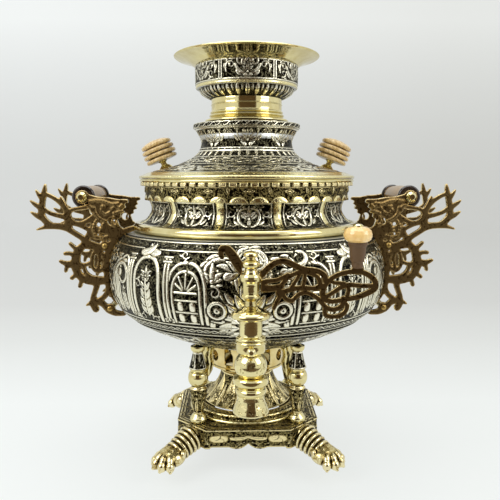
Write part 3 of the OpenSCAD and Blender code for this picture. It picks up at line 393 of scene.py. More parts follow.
class Sheet:
    """A drawing that wraps round a turned outline. Places on it are (degrees from the tap, mm up)."""

    def __init__(self, outline, pitch, fine=2.0):
        line = np.array(outline, float)
        lengths = np.concatenate([[0], np.cumsum(np.hypot(*np.diff(line, axis=0).T))])
        self.along = np.linspace(0, lengths[-1], max(round(lengths[-1] / pitch), 2) + 1)
        self.skin = np.stack([np.interp(self.along, lengths, line[:, i]) for i in (0, 1)], 1)
        slope = np.gradient(self.skin, axis=0)
        slope /= np.hypot(*slope.T)[:, None]
        self.outwards = np.stack([slope[:, 1], -slope[:, 0]], 1)
        self.tall = lengths[-1]
        self.mean_radius = self.skin[:, 0].mean()
        self.around = math.tau * self.mean_radius
        self.fine = round(self.around * fine) / self.around
        shape = (round(self.around * self.fine), math.ceil(self.tall * self.fine) + 1)
        self.edge = np.full(shape, -REACH)
        self.dome = np.zeros(shape)

    def up(self, z):
        """Way along the outline to a height."""
        return float(np.interp(z, self.skin[:, 1], self.along))

    def squeeze(self, way):
        """Sheet millimetres for one real millimetre round the piece, at that way along the outline."""
        return self.mean_radius / max(float(np.interp(way, self.along, self.skin[:, 0])), 1)

    def read(self, grid, turn, way):
        """The map's value at each turn (0 to 1) and way along, with straight blending."""
        columns, rows = grid.shape
        x, y = turn * columns, np.clip(way * self.fine, 0, rows - 1.001)
        i, j = np.floor(x).astype(int), np.floor(y).astype(int)
        s, t = x - i, y - j
        a, b = i % columns, (i + 1) % columns
        low_row = grid[a, j] * (1 - s) + grid[b, j] * s
        high_row = grid[a, j + 1] * (1 - s) + grid[b, j + 1] * s
        return low_row * (1 - t) + high_row * t


def lay(sheet, points, width, lift=1.0, gap=0.7, groove=False, plain=False):
    """Raises a rounded strand through sheet points, or cuts a groove along them."""
    columns, rows = sheet.dome.shape
    p = np.array(points, float) * sheet.fine
    half = np.broadcast_to(np.array(width, float), len(p)) / 2 * sheet.fine
    margin = (gap + 0.3) * sheet.fine
    x0, y0 = np.floor(p.min(0) - half.max() - margin).astype(int)
    x1, y1 = np.ceil(p.max(0) + half.max() + margin).astype(int) + 1
    y0, y1 = max(y0, 0), min(y1, rows)
    if y1 <= y0:
        return
    inside = np.full((x1 - x0, y1 - y0), BARE)
    share = np.zeros(inside.shape)
    for a, b, ha, hb in zip(p, p[1:], half, half[1:]):
        m = max(ha, hb) + margin
        i0, i1 = max(int(min(a[0], b[0]) - m), x0), min(int(max(a[0], b[0]) + m) + 2, x1)
        j0, j1 = max(int(min(a[1], b[1]) - m), y0), min(int(max(a[1], b[1]) + m) + 2, y1)
        if i1 <= i0 or j1 <= j0:
            continue
        x, y = np.arange(i0, i1)[:, None] - a[0], np.arange(j0, j1)[None] - a[1]
        d = b - a
        t = np.clip((x * d[0] + y * d[1]) / max(d @ d, 1e-6), 0, 1)
        h = ha + (hb - ha) * t
        depth = h - np.hypot(x - t * d[0], y - t * d[1])
        part = np.s_[i0 - x0:i1 - x0, j0 - y0:j1 - y0]
        better = depth > inside[part]
        inside[part] = np.where(better, depth, inside[part])
        share[part] = np.where(better, np.clip(depth / np.maximum(h, 0.01), 0, 1), share[part])
    where = np.ix_(np.arange(x0, x1) % columns, np.arange(y0, y1))
    edge, dome, mm = sheet.edge[where], sheet.dome[where], inside / sheet.fine
    if groove:
        sheet.edge[where] = np.where(mm > -REACH, np.minimum(edge, -mm), edge)
        sheet.dome[where] = np.where(mm > 0, dome * 0.45, dome)
    else:
        near = mm > -gap
        sheet.edge[where] = np.where(near, np.clip(mm, -REACH, REACH), edge)
        if plain:
            sheet.edge[where] = np.where(mm > PLAIN_IN, PLAIN, sheet.edge[where])
        sheet.dome[where] = np.where(near, lift * np.sqrt(np.clip(share * (2 - share), 0, 1)), dome)


def line_round(sheet, way, width):
    """A plain raised line all the way round."""
    mm = width / 2 - np.abs(np.arange(sheet.dome.shape[1]) / sheet.fine - way)
    near = mm > -0.5
    share = np.clip(mm / (width / 2), 0, 1)
    sheet.edge[:, near] = np.clip(mm[near], -REACH, REACH)
    sheet.dome[:, near] = np.sqrt(share * (2 - share))[near]


def leave_plain(sheet, start, end):
    """Leaves the metal plain and polished between two ways along the outline."""
    rows = np.s_[:, round(start * sheet.fine):round(end * sheet.fine) + 1]
    sheet.edge[rows], sheet.dome[rows] = PLAIN, 1


# %% [markdown]
# ## Motifs
# All the ornament grows from two shapes: a line whose bend tightens as it goes, which is how a tendril
# curls, and a leaf that swells and ends in a point. A motif is a list of strands drawn round its own
# origin, and `stamp` puts it on a sheet, turned, scaled or mirrored. `beside` does so on the right or
# the left of a line, and `ring` all the way round. A strand is its points, its width and whether it is
# cut in as a groove.

# %% Tendrils and leaves
def tendril(length, bend_start, bend_end, start=(0, 0), heading=0.0, pitch=1.1):
    """Points of a line that bends by so many degrees a millimetre."""
    n = max(round(length / pitch), 5)
    t = (np.arange(n) + 0.5) / n
    bends = bend_start + (bend_end - bend_start) * t ** 1.5
    headings = np.radians(heading + np.cumsum(bends) * length / n)
    steps = np.stack([np.cos(headings), np.sin(headings)], 1) * length / n
    return np.vstack([start, start + np.cumsum(steps, 0)])


def swell(n, width):
    """Widths of a leaf from root to tip, widest a little before the middle."""
    t = np.linspace(0, 1, n)
    return width * np.sin(math.pi * t ** 0.7) ** 0.8 + 0.35


def leaf(length, width, bend=0.0, start=(0, 0), heading=0.0, vein=0.5):
    spine = tendril(length, bend, bend, start, heading)
    strands = [(spine, swell(len(spine), width), False)]
    if vein and width > 2:
        strands.append((spine[1:-2], vein, True))
    return strands


def heading_at(points, i):
    step = points[min(i + 1, len(points) - 1)] - points[max(i - 1, 0)]
    return math.degrees(math.atan2(step[1], step[0]))


def scroll(length=58.0, bend_start=1.5, bend_end=15.0, stem=3.0, leaves=(0.12, 0.3, 0.48), leaf_size=13.0):
    """A volute that turns to the left, with leaves breaking off it."""
    line = tendril(length, bend_start, bend_end)
    strands = []
    for share in leaves:
        i = int(share * len(line))
        size = leaf_size * (1.15 - share)
        strands += leaf(size, size * 0.34, 5.5, line[i], heading_at(line, i) - 48)
        strands += leaf(size * 0.62, size * 0.26, -7, line[i], heading_at(line, i) + 42)
    strands.append((line, np.linspace(stem, stem * 0.5, len(line)), False))
    strands.append((line[2:-6], 0.45, True))
    eye = line[-1]
    strands.append(([eye, eye + 0.01], stem * 1.5, False))
    return strands


def bar(start, end, width):
    return [([(start, 0), (end, 0)], width, False)]


def palmette(count, size, spread):
    """Leaves fanned about the +x axis, the middle one longest and on top."""
    angles = np.linspace(-spread, spread, count)
    strands = []
    for a in sorted(angles, key=abs, reverse=True):
        reach = size * (1 - 0.45 * abs(a) / max(spread, 1))
        strands += leaf(reach, size * 0.26, np.sign(a) * 3.0, (0, 0), a)
    strands.append(([(0, 0), (0.01, 0)], size * 0.22, False))
    return strands


def stamp(sheet, motif, at, turn=0.0, size=1.0, flip=False, lift=1.0, gap=0.7, plain=False):
    """Lays a motif at (degrees, way), its +x axis turned by so many degrees; flip mirrors it."""
    degrees, way = at
    c, s = math.cos(math.radians(turn)), math.sin(math.radians(turn))
    squeeze = sheet.squeeze(way)
    for points, width, groove in motif:
        p = np.array(points, float) * size
        if flip:
            p[:, 1] *= -1
        p = p @ np.array([[c, s], [-s, c]])
        p[:, 0] = p[:, 0] * squeeze + degrees / 360 * sheet.around
        p[:, 1] += way
        lay(sheet, p, np.array(width) * size, lift, gap * size, groove, plain)


def beside(sheet, side, motif, line, offset, way, turn, size=1.0, flip=False, **settings):
    """Lays a motif so many degrees beside a line: on the right (1), or as its mirror image (-1)."""
    stamp(sheet, motif, (line + side * offset, way), turn if side > 0 else 180 - turn, size,
          flip=flip != (side < 0), **settings)


def ring(sheet, motif, count, way, turn=0.0, size=1.0, **settings):
    """Lays a motif so many times round the sheet."""
    for k in range(count):
        stamp(sheet, motif, (k * 360 / count, way), turn, size, **settings)


def wave(sheet, way, amplitude, count, width, phase=0.0, gap=0.7):
    """A wavy line all the way round."""
    n = count * 14 + 1
    u = np.linspace(0, sheet.around, n)
    v = way + amplitude * np.sin(np.linspace(0, math.tau * count, n) + phase)
    lay(sheet, np.stack([u, v], 1), width, gap=gap)


def rinceau(sheet, way, height, count, lean=0.0, bold=1.0):
    """A running scroll: a wavy stem with volutes that fill each bay in turn."""
    bay = 360 / count
    size = height / 27
    wave(sheet, way, height * 0.3, count // 2, (2.2 * size + 0.4) * bold)
    for k in range(count):
        side = 1 if k % 2 else -1
        at = ((k - 0.1) * bay + lean, way - side * height * 0.16)
        volute = scroll(62, 2.5, 14.0, 3.0 * bold, leaf_size=12 + bold)
        stamp(sheet, volute, at, side * 58, size, flip=side > 0)


def curl(size):
    """A small scroll with two leaves, drawn about its own middle."""
    line = tendril(size * 3.1, 60 / size, 190 / size, pitch=size * 0.12)
    line = line - (line.max(0) + line.min(0)) / 2
    strands = leaf(size * 0.95, size * 0.26, 50 / size, line[4], heading_at(line, 4) - 60, vein=0)
    strands += leaf(size * 0.8, size * 0.24, 50 / size, line[12], heading_at(line, 12) - 65, vein=0)
    return strands + [(line, np.linspace(size * 0.24, size * 0.15, len(line)), False)]


def fill(sheet, low_way, high_way, sizes):
    """Small scrolls wherever the ground is still empty, the same on both sides of the tap."""
    for size in sizes:
        motif = curl(size)
        for n, way in enumerate(np.arange(low_way + size * 0.75, high_way - size * 0.7, size * 0.55)):
            squeeze = sheet.squeeze(way)
            count = round(sheet.around / squeeze / size / 0.6 / 2)
            j = slice(max(int((way - size * 0.62) * sheet.fine), 0), int((way + size * 0.62) * sheet.fine))
            half = size * 0.62 * squeeze * sheet.fine
            for k in range(count):
                degrees = 180 * (k + 0.5 * (n % 2)) / count
                x = degrees / 360 * sheet.dome.shape[0]
                across = np.arange(int(x - half), int(x + half)) % sheet.dome.shape[0]
                if sheet.edge[across, j].max() > -REACH:
                    continue
                for side in (1, -1):
                    beside(sheet, side, motif, 0, degrees, way, (k * 137 + n * 61) % 360, gap=0.5)


# %% [markdown]
# ## Pressing the relief into a spun skin
# The outline is spun as on the lathe, with a row of points about every millimetre, so that the relief
# is real metal and not only shading. Each point of the wire carries its way along the outline and its
# outward direction as vertex layers, which the spin copies round. Then the ground is pushed inwards,
# while the back of each strand stays on the model's own surface.

# %% Chased skins
def spin_skin(sheet, inner, steps, sweep):
    """Spins the sheet's outline, closed by the inner points, through so many degrees.

    The second material goes on the faces of the inner side."""
    bm = bmesh.new()
    layers = [bm.verts.layers.float.new(key) for key in ("way", "out_r", "out_z")]
    wire = []
    for (r, z), way, (out_r, out_z) in zip(sheet.skin, sheet.along, sheet.outwards):
        vert = bm.verts.new((r * MM, 0, z * MM))
        for layer, value in zip(layers, (way, out_r, out_z)):
            vert[layer] = value
        wire.append(vert)
    for r, z in inner:
        vert = bm.verts.new((r * MM, 0, z * MM))
        vert[layers[0]] = -1
        wire.append(vert)
    for pair in zip(wire, wire[1:] + wire[:1]):
        bm.edges.new(pair)
    whole = abs(sweep) == 360
    bmesh.ops.spin(bm, geom=bm.verts[:] + bm.edges[:], cent=(0, 0, 0), axis=(0, 0, 1),
                   angle=math.radians(sweep), steps=steps, use_merge=whole)
    bmesh.ops.remove_doubles(bm, verts=bm.verts, dist=2e-6)
    if not whole:
        seam = [e for e in bm.edges if e.is_boundary]
        caps = bmesh.ops.holes_fill(bm, edges=seam, sides=0)
        for edge in {e for face in caps["faces"] for e in face.edges}:
            edge.smooth = False
    for face in bm.faces:
        face.material_index = int(all(v[layers[0]] < 0 for v in face.verts))
    bmesh.ops.recalc_face_normals(bm, faces=bm.faces)
    return bm


def take(mesh, key):
    values = np.empty(len(mesh.vertices), np.float32)
    mesh.attributes[key].data.foreach_get("value", values)
    mesh.attributes.remove(mesh.attributes[key])
    return values.astype(float)


def put(mesh, key, values):
    mesh.attributes.new(key, "FLOAT", "POINT").data.foreach_set("value", values.astype(np.float32))


def pull(items, key, size, kind=np.float32):
    values = np.empty(len(items) * size, kind)
    items.foreach_get(key, values)
    return values.reshape(-1, size)


def places(mesh):
    return pull(mesh.vertices, "co", 3).astype(float)


def move_to(mesh, spots):
    mesh.vertices.foreach_set("co", spots.astype(np.float32).ravel())


def chased_piece(name, sheet, inner, depth, materials, steps, sweep=360, place=None, reshape=None):
    """Spins a sheet's skin and sinks its ground by `depth` mm."""
    bm = spin_skin(sheet, inner, steps, sweep)
    piece = to_object(bm, name, materials[0])
    for material in materials[1:]:
        piece.data.materials.append(material)
    mesh = piece.data
    way, out_r, out_z = (take(mesh, key) for key in ("way", "out_r", "out_z"))
    spots = places(mesh)
    turn = np.arctan2(spots[:, 0], -spots[:, 1]) / math.tau % 1
    skin = way >= 0
    dome = np.where(skin, sheet.read(sheet.dome, turn, way), 1)
    edge = np.where(skin, sheet.read(sheet.edge, turn, way), -REACH)
    sink = np.where(skin, (dome - 1) * depth * MM, 0)
    reach = np.hypot(spots[:, 0], spots[:, 1])
    spots[:, :2] *= ((reach + out_r * sink) / np.maximum(reach, 1e-6))[:, None]
    spots[:, 2] += out_z * sink
    if reshape:
        spots = reshape(spots)
    if place:
        spots = spots @ np.array(place.to_3x3()).T + np.array(place.translation)
    move_to(mesh, spots)
    put(mesh, "edge", edge / (2 * REACH) + 0.5)
    put(mesh, "dome", dome)
    mesh.update()
    return piece


# %% [markdown]
# ## The belly
# The vessel is one spun sheet, but its relief is dense, so it is modelled as a lower cone and the two
# halves of the bulge. The ledge between them hides the joint, and the handles cover the half seams.
# The drawing has a fan of petals round the tap, then on each side a scroll with a roundel, a pointed
# window, columns and niches with plants in them, and open scrolls towards the handles. The back
# repeats it round a rosette.

# %% Outline of the belly
PETALS = 14          # in each of the two rings of petals round the tap
BULGE_IN = 42        # how far the bulge swells beyond its inner line
BULGE_HALF = 55      # half height of the bulge
SQUARENESS = 0.92
WIDEST_UP = 88       # height of the widest level above the vessel's bottom
LEDGE_UP = 35
LEDGE_IN = 25
BOTTOM_RADIUS = 66

belly_low, belly_high = low("belly_shell"), high("belly_shell")
widest = belly_low + WIDEST_UP


def bulge_point(degrees):
    a = math.radians(degrees)
    side = math.copysign(abs(math.sin(a)) ** SQUARENESS, a)
    return (BELLY_RADIUS - BULGE_IN + BULGE_IN * math.cos(a) ** SQUARENESS, widest + BULGE_HALF * side)


def bulge_degrees(z):
    return math.degrees(math.copysign(math.asin((abs(z) / BULGE_HALF) ** (1 / SQUARENESS)), z))


def cone_point(t):
    return (BOTTOM_RADIUS + (BELLY_RADIUS - LEDGE_IN - BOTTOM_RADIUS) * t,
            belly_low + LEDGE_UP * (0.78 * t + 0.22 * t ** 3))


bulge_line = [bulge_point(a) for a in np.linspace(bulge_degrees(LEDGE_UP + 1.5 - WIDEST_UP),
                                                  bulge_degrees(belly_high - widest), 40)]
cone_line = [cone_point(t) for t in np.linspace(0, 1, 12)]
bulge_sheet = Sheet(bulge_line, 0.85)
cone_sheet = Sheet(cone_line, 1.05)
print("belly drawing:", bulge_sheet.dome.shape, "cone drawing:", cone_sheet.dome.shape)


# %% Motifs of the belly
def column(height):
    """An upright with a moulded foot and capital, drawn up the +x axis."""
    strands = [([(0, -2.1), (height, -2.1)], 3.2, False), ([(0, 2.1), (height, 2.1)], 3.2, False)]
    for x in (0, 3, height - 5, height):
        strands.append(([(x, -5), (x, 5)], 2.4, False))
    return strands + palmette(3, 7, 45)[:-1]


def pointed_arch(half_width, straight, rise, width):
    """Arch up the +x axis: two straight sides and two curves that meet in a point."""
    t = np.linspace(0, 1, 10)
    side = [(0, half_width), *zip(straight + rise * np.sin(t * math.pi / 2),
                                  half_width * np.cos(t * math.pi / 2) ** 0.8)]
    other = [(x, -y) for x, y in side]
    return [(side, width, False), (other, width, False)]


def window(half_width, straight, rise):
    """A pointed window with glazing bars below and a fan above."""
    strands = [([(x + 2, y * 0.7), (x + 6.4, y * 0.7)], 6.4, False)
               for x in (2, 15) for y in (-half_width * 0.62, half_width * 0.62)]
    strands += [([(x, -half_width + 3), (x, half_width - 3)], 1.8, False) for x in (0, 13, 26)]
    for a in (-52, -26, 0, 26, 52):
        reach = rise * (0.95 - 0.3 * abs(a) / 52)
        end = (straight + reach * math.cos(math.radians(a)), reach * math.sin(math.radians(a)))
        strands.append(([(straight, 0), end], 2.2, False))
    strands += [([(straight, -half_width + 2), (straight, half_width - 2)], 2.2, False)]
    strands += pointed_arch(half_width, straight, rise, 3.0)
    return strands + pointed_arch(half_width + 5.6, straight, rise + 9, 3.6)


def plant(height):
    """A flowering stem up the +x axis with pairs of leaves."""
    strands = []
    for i, x in enumerate(np.linspace(2, height * 0.7, 5)):
        size = 17 - 2.0 * i
        strands += leaf(size, size * 0.46, -4.5, (x, 0), 62)
        strands += leaf(size, size * 0.46, 4.5, (x, 0), -62)
    strands.append(([(0, 0), (height * 0.85, 0)], 2.8, False))
    flower = palmette(7, 12, 110)
    return strands + [(np.array(p) + (height * 0.8, 0), w, g) for p, w, g in flower]


def bird():
    """A swimming bird seen from its side, its neck in an S."""
    neck = curve([(4, 2), (10, 4), (14, 9), (12, 14), (7, 15), (5, 12)], 5)
    strands = leaf(15, 7, 2.0, (-9, -3), 20)
    for length, width, x, heading in ((13, 4, -4, 128), (11, 3.6, -1, 105), (9, 3.0, 2, 85)):
        strands += leaf(length, width, 5.0, (x, 2), heading)
    strands.append((neck, np.linspace(5, 2.6, len(neck)), False))
    strands.append(([(5.5, 12.5), (2.5, 9.5)], (1.8, 0.5), False))
    return strands


def mirror(motif):
    return [(np.array(points) * (1, -1), width, groove) for points, width, groove in motif]


def roundel(size):
    """A disc with a raised rim and a dimpled middle."""
    rim = [(size * math.cos(a), size * math.sin(a)) for a in np.linspace(0, math.tau, 28)]
    return [(rim, size * 0.42, False), ([(0, 0), (0.01, 0)], size * 0.8, False),
            ([(0, 0), (0.01, 0)], size * 0.25, True)]


# %% Drawing the belly
def draw_quarter(sheet, line, side, foot, tall):
    """The drawing between the tap or the rosette and one handle, on the right (1) or left (-1)."""
    tower, niche = column(tall * 0.86), pointed_arch(17.5, tall * 0.55, 24, 4.4)
    for motif, degrees, share, turn, size in (
            (scroll(96, 1.0, 8.0, 6.4, (0.1, 0.22, 0.36, 0.5), 24), 3, 0.5, 62, 1.0),
            (scroll(74, 1.2, 10.0, 6.0, (0.15, 0.3, 0.45), 21), 13.5, 0.02, 100, 1.0),
            (mirror(scroll(60, 2.0, 13.0, 4.6, leaf_size=16.0)), 8, 0.9, 10, 1.0),
            (palmette(5, 20, 60), 13, 0.62, 90, 1.0),
            (window(15, 34, 22), 22.5, 0.05, 90, 1.0),
            (tower, 30.5, 0.04, 90, 1.0),
            (plant(tall * 0.7), 40, 0.1, 90, 0.95),
            (niche, 40, 0.04, 90, 1.0),
            (leaf(24, 9, 4), 35.0, 0.95, -20, 1.0),
            (leaf(24, 9, -4), 45.0, 0.95, 200, 1.0),
            (tower, 49, 0.04, 90, 1.0),
            (plant(tall * 0.5), 54, 0.1, 90, 0.7),
            (pointed_arch(9, tall * 0.6, 16, 3.2), 54, 0.06, 90, 1.0),
            (column(tall * 0.8), 59.5, 0.06, 90, 1.0),
            (scroll(100, 1.0, 8.6, 6.0, (0.1, 0.22, 0.36, 0.5), 23), 62, 0.25, 70, 1.0),
            (scroll(90, 1.0, 9.0, 6.0, (0.1, 0.25, 0.4), 21), 74, 0.8, -60, 1.0),
            (palmette(7, 22, 80), 88, 0.4, 90, 1.0)):
        beside(sheet, side, motif, line, degrees, foot + tall * share, turn, size)


def draw_belly(sheet):
    foot, head = sheet.up(belly_low + 50), sheet.up(belly_high - 9)
    tall = head - foot
    ring(sheet, scroll(22, 6, 26, 1.7, (0.2,), 5.0), 72, head + 2.4, 20, 0.62, gap=0.5)
    line_round(sheet, head - 0.4, 1.5)
    line_round(sheet, sheet.up(belly_high - 1.6), 1.8)
    for line in (0, 180):
        for side in (1, -1):
            draw_quarter(sheet, line, side, foot, tall)
    stamp(sheet, bird(), (-4.5, head - 23), 0, 1.35, gap=1.0)
    stamp(sheet, bird(), (14.5, head - 19), 0, 1.25, gap=1.0)
    petals = sheet.up(valve_level)
    for first, size in ((0, 26), (13, 19)):
        for k in range(PETALS):
            stamp(sheet, leaf(size, 7.8, 0.0, (14, 0)), (0, petals), k * 360 / PETALS + first, gap=1.0)
    for turn in (-11.4, 11.4, 168.6, 191.4):
        stamp(sheet, roundel(8.6), (turn, petals + 12), gap=1.4)
    stamp(sheet, palmette(8, 20, 158), (180, foot + tall * 0.5), 90, 1.2)
    stamp(sheet, roundel(6), (180, foot + tall * 0.5))
    ribbon = sheet.up(belly_low + LEDGE_UP + 9)
    line_round(sheet, foot - 1.0, 1.7)
    for phase in (0, math.pi):
        wave(sheet, ribbon, 2.2, 60, 1.4, phase, gap=0.5)
    line_round(sheet, sheet.up(belly_low + LEDGE_UP + 3.4), 2.0)
    fill(sheet, foot, head - 1, (13, 9, 6.5))


def draw_cone(sheet):
    line_round(sheet, sheet.tall - 3, 2.0)
    rinceau(sheet, sheet.tall - 19, 27, 24, bold=1.5)
    line_round(sheet, sheet.tall - 35, 1.6)
    rinceau(sheet, sheet.tall - 49, 22, 24, 6, bold=1.4)
    line_round(sheet, sheet.tall - 63, 1.6)
    for k in range(36):
        stamp(sheet, leaf(19, 6.5), (k * 10, sheet.tall - 84), 90)
        stamp(sheet, leaf(14, 3.5), (k * 10 + 5, sheet.tall - 84), 90)
    fill(sheet, 4, sheet.tall - 4, (8, 6))


valve_level = middle("tap_body").z
draw_belly(bulge_sheet)
draw_cone(cone_sheet)

# %% The belly's skins
tinned = polished_brass("tinned inside of the vessel", "#cfd0cc", "#b5b6b2", (0.3, 0.42), 0.1)


def inset_line(line, wall, count):
    """Inner wall of a skin, from its top back to its bottom, with few points."""
    keep = line.skin[np.linspace(len(line.skin) - 1, 0, count).astype(int)]
    aim = line.outwards[np.linspace(len(line.skin) - 1, 0, count).astype(int)]
    return [(r - wall * nr, z - wall * nz) for (r, z), (nr, nz) in zip(keep, aim)]


def belly():
    inner = inset_line(bulge_sheet, WALL, 9)
    for name, sweep in (("belly_front", -180), ("belly_back", 180)):
        half = chased_piece(name, bulge_sheet, inner, 1.0, (chased, tinned), 600, sweep)
        seat(half, "urn", "brass_engraved", "belly_shell")
    cone_wall = inset_line(cone_sheet, WALL, 7)
    cone = chased_piece("belly_cone", cone_sheet, cone_wall, 0.8, (chased, tinned), 660)
    seat(cone, "urn", "brass_engraved", "belly_shell")
    hole = radius("grate") + 2.7
    floor = [(BOTTOM_RADIUS, belly_low), (BOTTOM_RADIUS, belly_low + WALL), (hole, belly_low + WALL),
             (hole, belly_low)]
    seat(turned("belly_floor", floor, tinned, 96), "urn", "brass_engraved", "belly_shell")
    edge_radius = bulge_sheet.skin[-1][0]
    deck = [(edge_radius - 0.2, belly_high), (THROAT, belly_high), (THROAT, belly_high - WALL),
            (edge_radius - 2.5, belly_high - WALL)]
    seat(turned("belly_deck", deck, tinned, 144), "urn", "brass_engraved", "belly_shell")


belly()

# %% [markdown]
# ## Neck, frieze and rim
# Above the shoulder ring the neck draws in as a hollow curve. Polished ribs part it into panels, and
# each panel holds two scrolls back to back. The frieze over it carries a row of shells along its foot,
# with lozenges and hearts above, and the rim ends in small square dentils.

# %% Neck band
def neck_band():
    z, foot, waist, top = low("neck_band"), 132, 117.5, high("neck_band")
    line = curve([(foot, z), (waist + 7.5, z + 3), (waist + 3, z + 8), (waist, z + 14), (waist + 0.3, z + 20),
                  (waist + 3, top)], 6)
    sheet = Sheet(line, 0.9)
    tall = sheet.tall
    for panel in range(0, 360, 30):
        for side in (1, -1):
            beside(sheet, side, scroll(50, 3, 15, 3.6, (0.15, 0.4), 12), panel, 1.2, tall * 0.22, 20, 0.95)
            beside(sheet, side, scroll(30, 4, 20, 2.0, (0.3,), 7), panel, 7.6, tall * 0.86, 200, 0.8, True)
        stamp(sheet, palmette(5, 14, 62), (panel, tall * 0.50), 90)
        stamp(sheet, leaf(9, 3.4), (panel, tall * 0.46), -90)
        for way in (1.2, tall - 1.2):
            stamp(sheet, bar(-24, 24, 1.6), (panel, way))
        for side in (1, -1):
            stamp(sheet, bar(0, tall, 1.3), (panel + side * 11.6, 0), 90)
        stamp(sheet, bar(-2, tall + 2, 8.4), (panel + 15, 0), 90, plain=True)
    fill(sheet, 2.5, tall - 2.5, (5.5,))
    band = chased_piece("neck_chased", sheet, inset_line(sheet, WALL, 6), 0.9, (chased, tinned), 800)
    seat(band, "urn", "brass_engraved", "neck_band")


neck_band()

# %% Frieze band
def frieze_band():
    z, r, top = low("frieze_band"), 124, high("frieze_band")
    face = r + 1.6
    sheet = Sheet([(face, z), (face, top)], 0.8)
    count = 36
    bay = 360 / count
    line_round(sheet, sheet.tall - 0.8, 1.5)
    lozenge = [([(-5.5, 0), (0, 2.6), (5.5, 0), (0, -2.6), (-5.5, 0)], 1.1, False)] + bar(-1.5, 1.5, 1.8)
    arm = tendril(15, 8, 30, heading=-40)
    heart_half = [(arm, np.linspace(1.5, 0.9, len(arm)), False)]
    for k in range(count):
        turn, way = (k + 0.5) * bay + bay / 2, sheet.tall - 5.0
        if k % 2:
            stamp(sheet, lozenge, (turn, way))
        else:
            for side in (1, -1):
                beside(sheet, side, heart_half, turn, 0, way - 2, 90)
    for k in range(count):
        stamp(sheet, bar(0, 0.01, 22.8), ((k + 0.5) * bay, -4.8), gap=0.9, plain=True)
    band = chased_piece("frieze_chased", sheet, [(r - 4, top), (r - 4, z)], 1.5, (chased_gold, tinned), 960)
    seat(band, "urn", "brass_engraved", "frieze_band")


frieze_band()

# %% Rim with dentils
def rim_ring():
    z, r, top = low("rim_ring"), radius("rim_ring"), high("rim_ring")
    h = top - z
    sheet = Sheet([(r - 1, z), (r - 1, z + h * 0.5)], 0.8)
    line_round(sheet, 0, 20)
    ring(sheet, [([(0, -1), (0, h * 0.36)], 2.6, False)], 72, 0, lift=0.0, gap=0.3)
    sheet.edge[sheet.dome < 0.05] = -REACH
    inner = [(r - 8, z + h * 0.5), (r - 8, z)]
    seat(chased_piece("rim_dentils", sheet, inner, 2.2, (chased_gold, tinned), 864), "urn", "brass_polished",
         "rim_ring")
    lip = [(THROAT, z + h * 0.5 + 0.2), (r - 1, z + h * 0.5 + 0.2), (r - 0.2, z + h * 0.6),
           (r, z + h - 1.4), (r - 1, top), (THROAT, top)]
    seat(turned("rim_lip", lip, brass, 192), "urn", "brass_polished", "rim_ring")


rim_ring()

# %% [markdown]
# ## The lid
# The lid steps down in an ogee from the chimney collar to a plain flange. Its slope is covered with
# scrolls in two sizes, and the hollow under the collar has large scrolls that meet in palmettes.

# %% Lid cover
def lid_cover():
    z, r = low("lid_cover") + LID_SPIGOT, radius("lid_cover")
    h = high("lid_cover") - z
    line = curve([(r, z), (r, z + 3), (r - 4, z + 4.5), (r - 12.3, z + 8), (r - 25.5, z + 11),
                  (r - 43.7, z + 16), (r - 59.6, z + 23), (r - 69.4, z + 29.5), (r - 74, z + 37),
                  (r - 75.3, z + 43), (r - 74, z + h - 10), (r - 70, z + h - 3), (r - 67.5, z + h)])
    sheet = Sheet(line, 0.95)
    flange = sheet.up(z + 7.6)
    slope_end = sheet.up(z + 33)
    leave_plain(sheet, 0, flange)
    line_round(sheet, flange + 1.4, 1.7)
    rinceau(sheet, flange + 20, 34, 22, bold=1.5)
    line_round(sheet, flange + 38, 1.8)
    rinceau(sheet, flange + 48, 18, 26, 5, bold=1.4)
    line_round(sheet, flange + 57, 1.8)
    ring(sheet, leaf(13, 4.4), 40, flange + 59, 90, gap=0.6)
    line_round(sheet, slope_end, 2.4)
    line_round(sheet, slope_end + 3.4, 1.4)
    for k in range(8):
        for side in (1, -1):
            beside(sheet, side, scroll(56, 2, 13, 4.6, (0.15, 0.35), 15), 45 * k, 3, slope_end + 7, 35, 0.95)
        stamp(sheet, palmette(7, 15, 80), (45 * k, slope_end + 12), 90)
        stamp(sheet, palmette(5, 12, 60), (45 * k + 22.5, sheet.tall - 4), -90)
    line_round(sheet, sheet.tall - 1.6, 2.4)
    fill(sheet, flange + 2, sheet.tall - 3, (9, 6.5))
    under = [(CHIMNEY_HOLE, z + h), (CHIMNEY_HOLE, z + h - WALL),
             *[(x - 1.6, y - 2.2) for x, y in sheet.skin[-8:10:-7]], (THROAT - 1, z + 2), (THROAT - 4, z + 2),
             (THROAT - 4, z - LID_SPIGOT), (THROAT - 1.5, z - LID_SPIGOT), (THROAT - 1.5, z)]
    cover = chased_piece("lid_chased", sheet, under, 0.9, (chased, tinned), 660)
    seat(cover, "lid", "brass_engraved", "lid_cover")


lid_cover()

# %% Lid collar
def lid_collar():
    z, r, top = low("lid_collar"), radius("lid_collar"), high("lid_collar")
    sheet = Sheet([(r - 1.5, z), (r, z + 1.3), (r, top - 1.3), (r - 1.5, top)], 0.6)
    for way in (0.8, sheet.tall - 0.8):
        line_round(sheet, way, 1.8)
    s_curve = curve([(-5.4, -1.4), (-3, -2.2), (0, 0), (3, 2.2), (5.4, 1.4)], 4)
    dots = [([(-2.6, 1.4), (-2.5, 1.4)], 1.4, False), ([(2.5, -1.4), (2.6, -1.4)], 1.4, False)]
    ring(sheet, [(s_curve, 1.3, False), *dots], 36, sheet.tall / 2, gap=0.4)
    hole = [(CHIMNEY_HOLE, top), (CHIMNEY_HOLE, z)]
    collar = chased_piece("lid_collar_chased", sheet, hole, 0.7, (chased, tinned), 420)
    seat(collar, "lid", "brass_engraved", "lid_collar")


lid_collar()

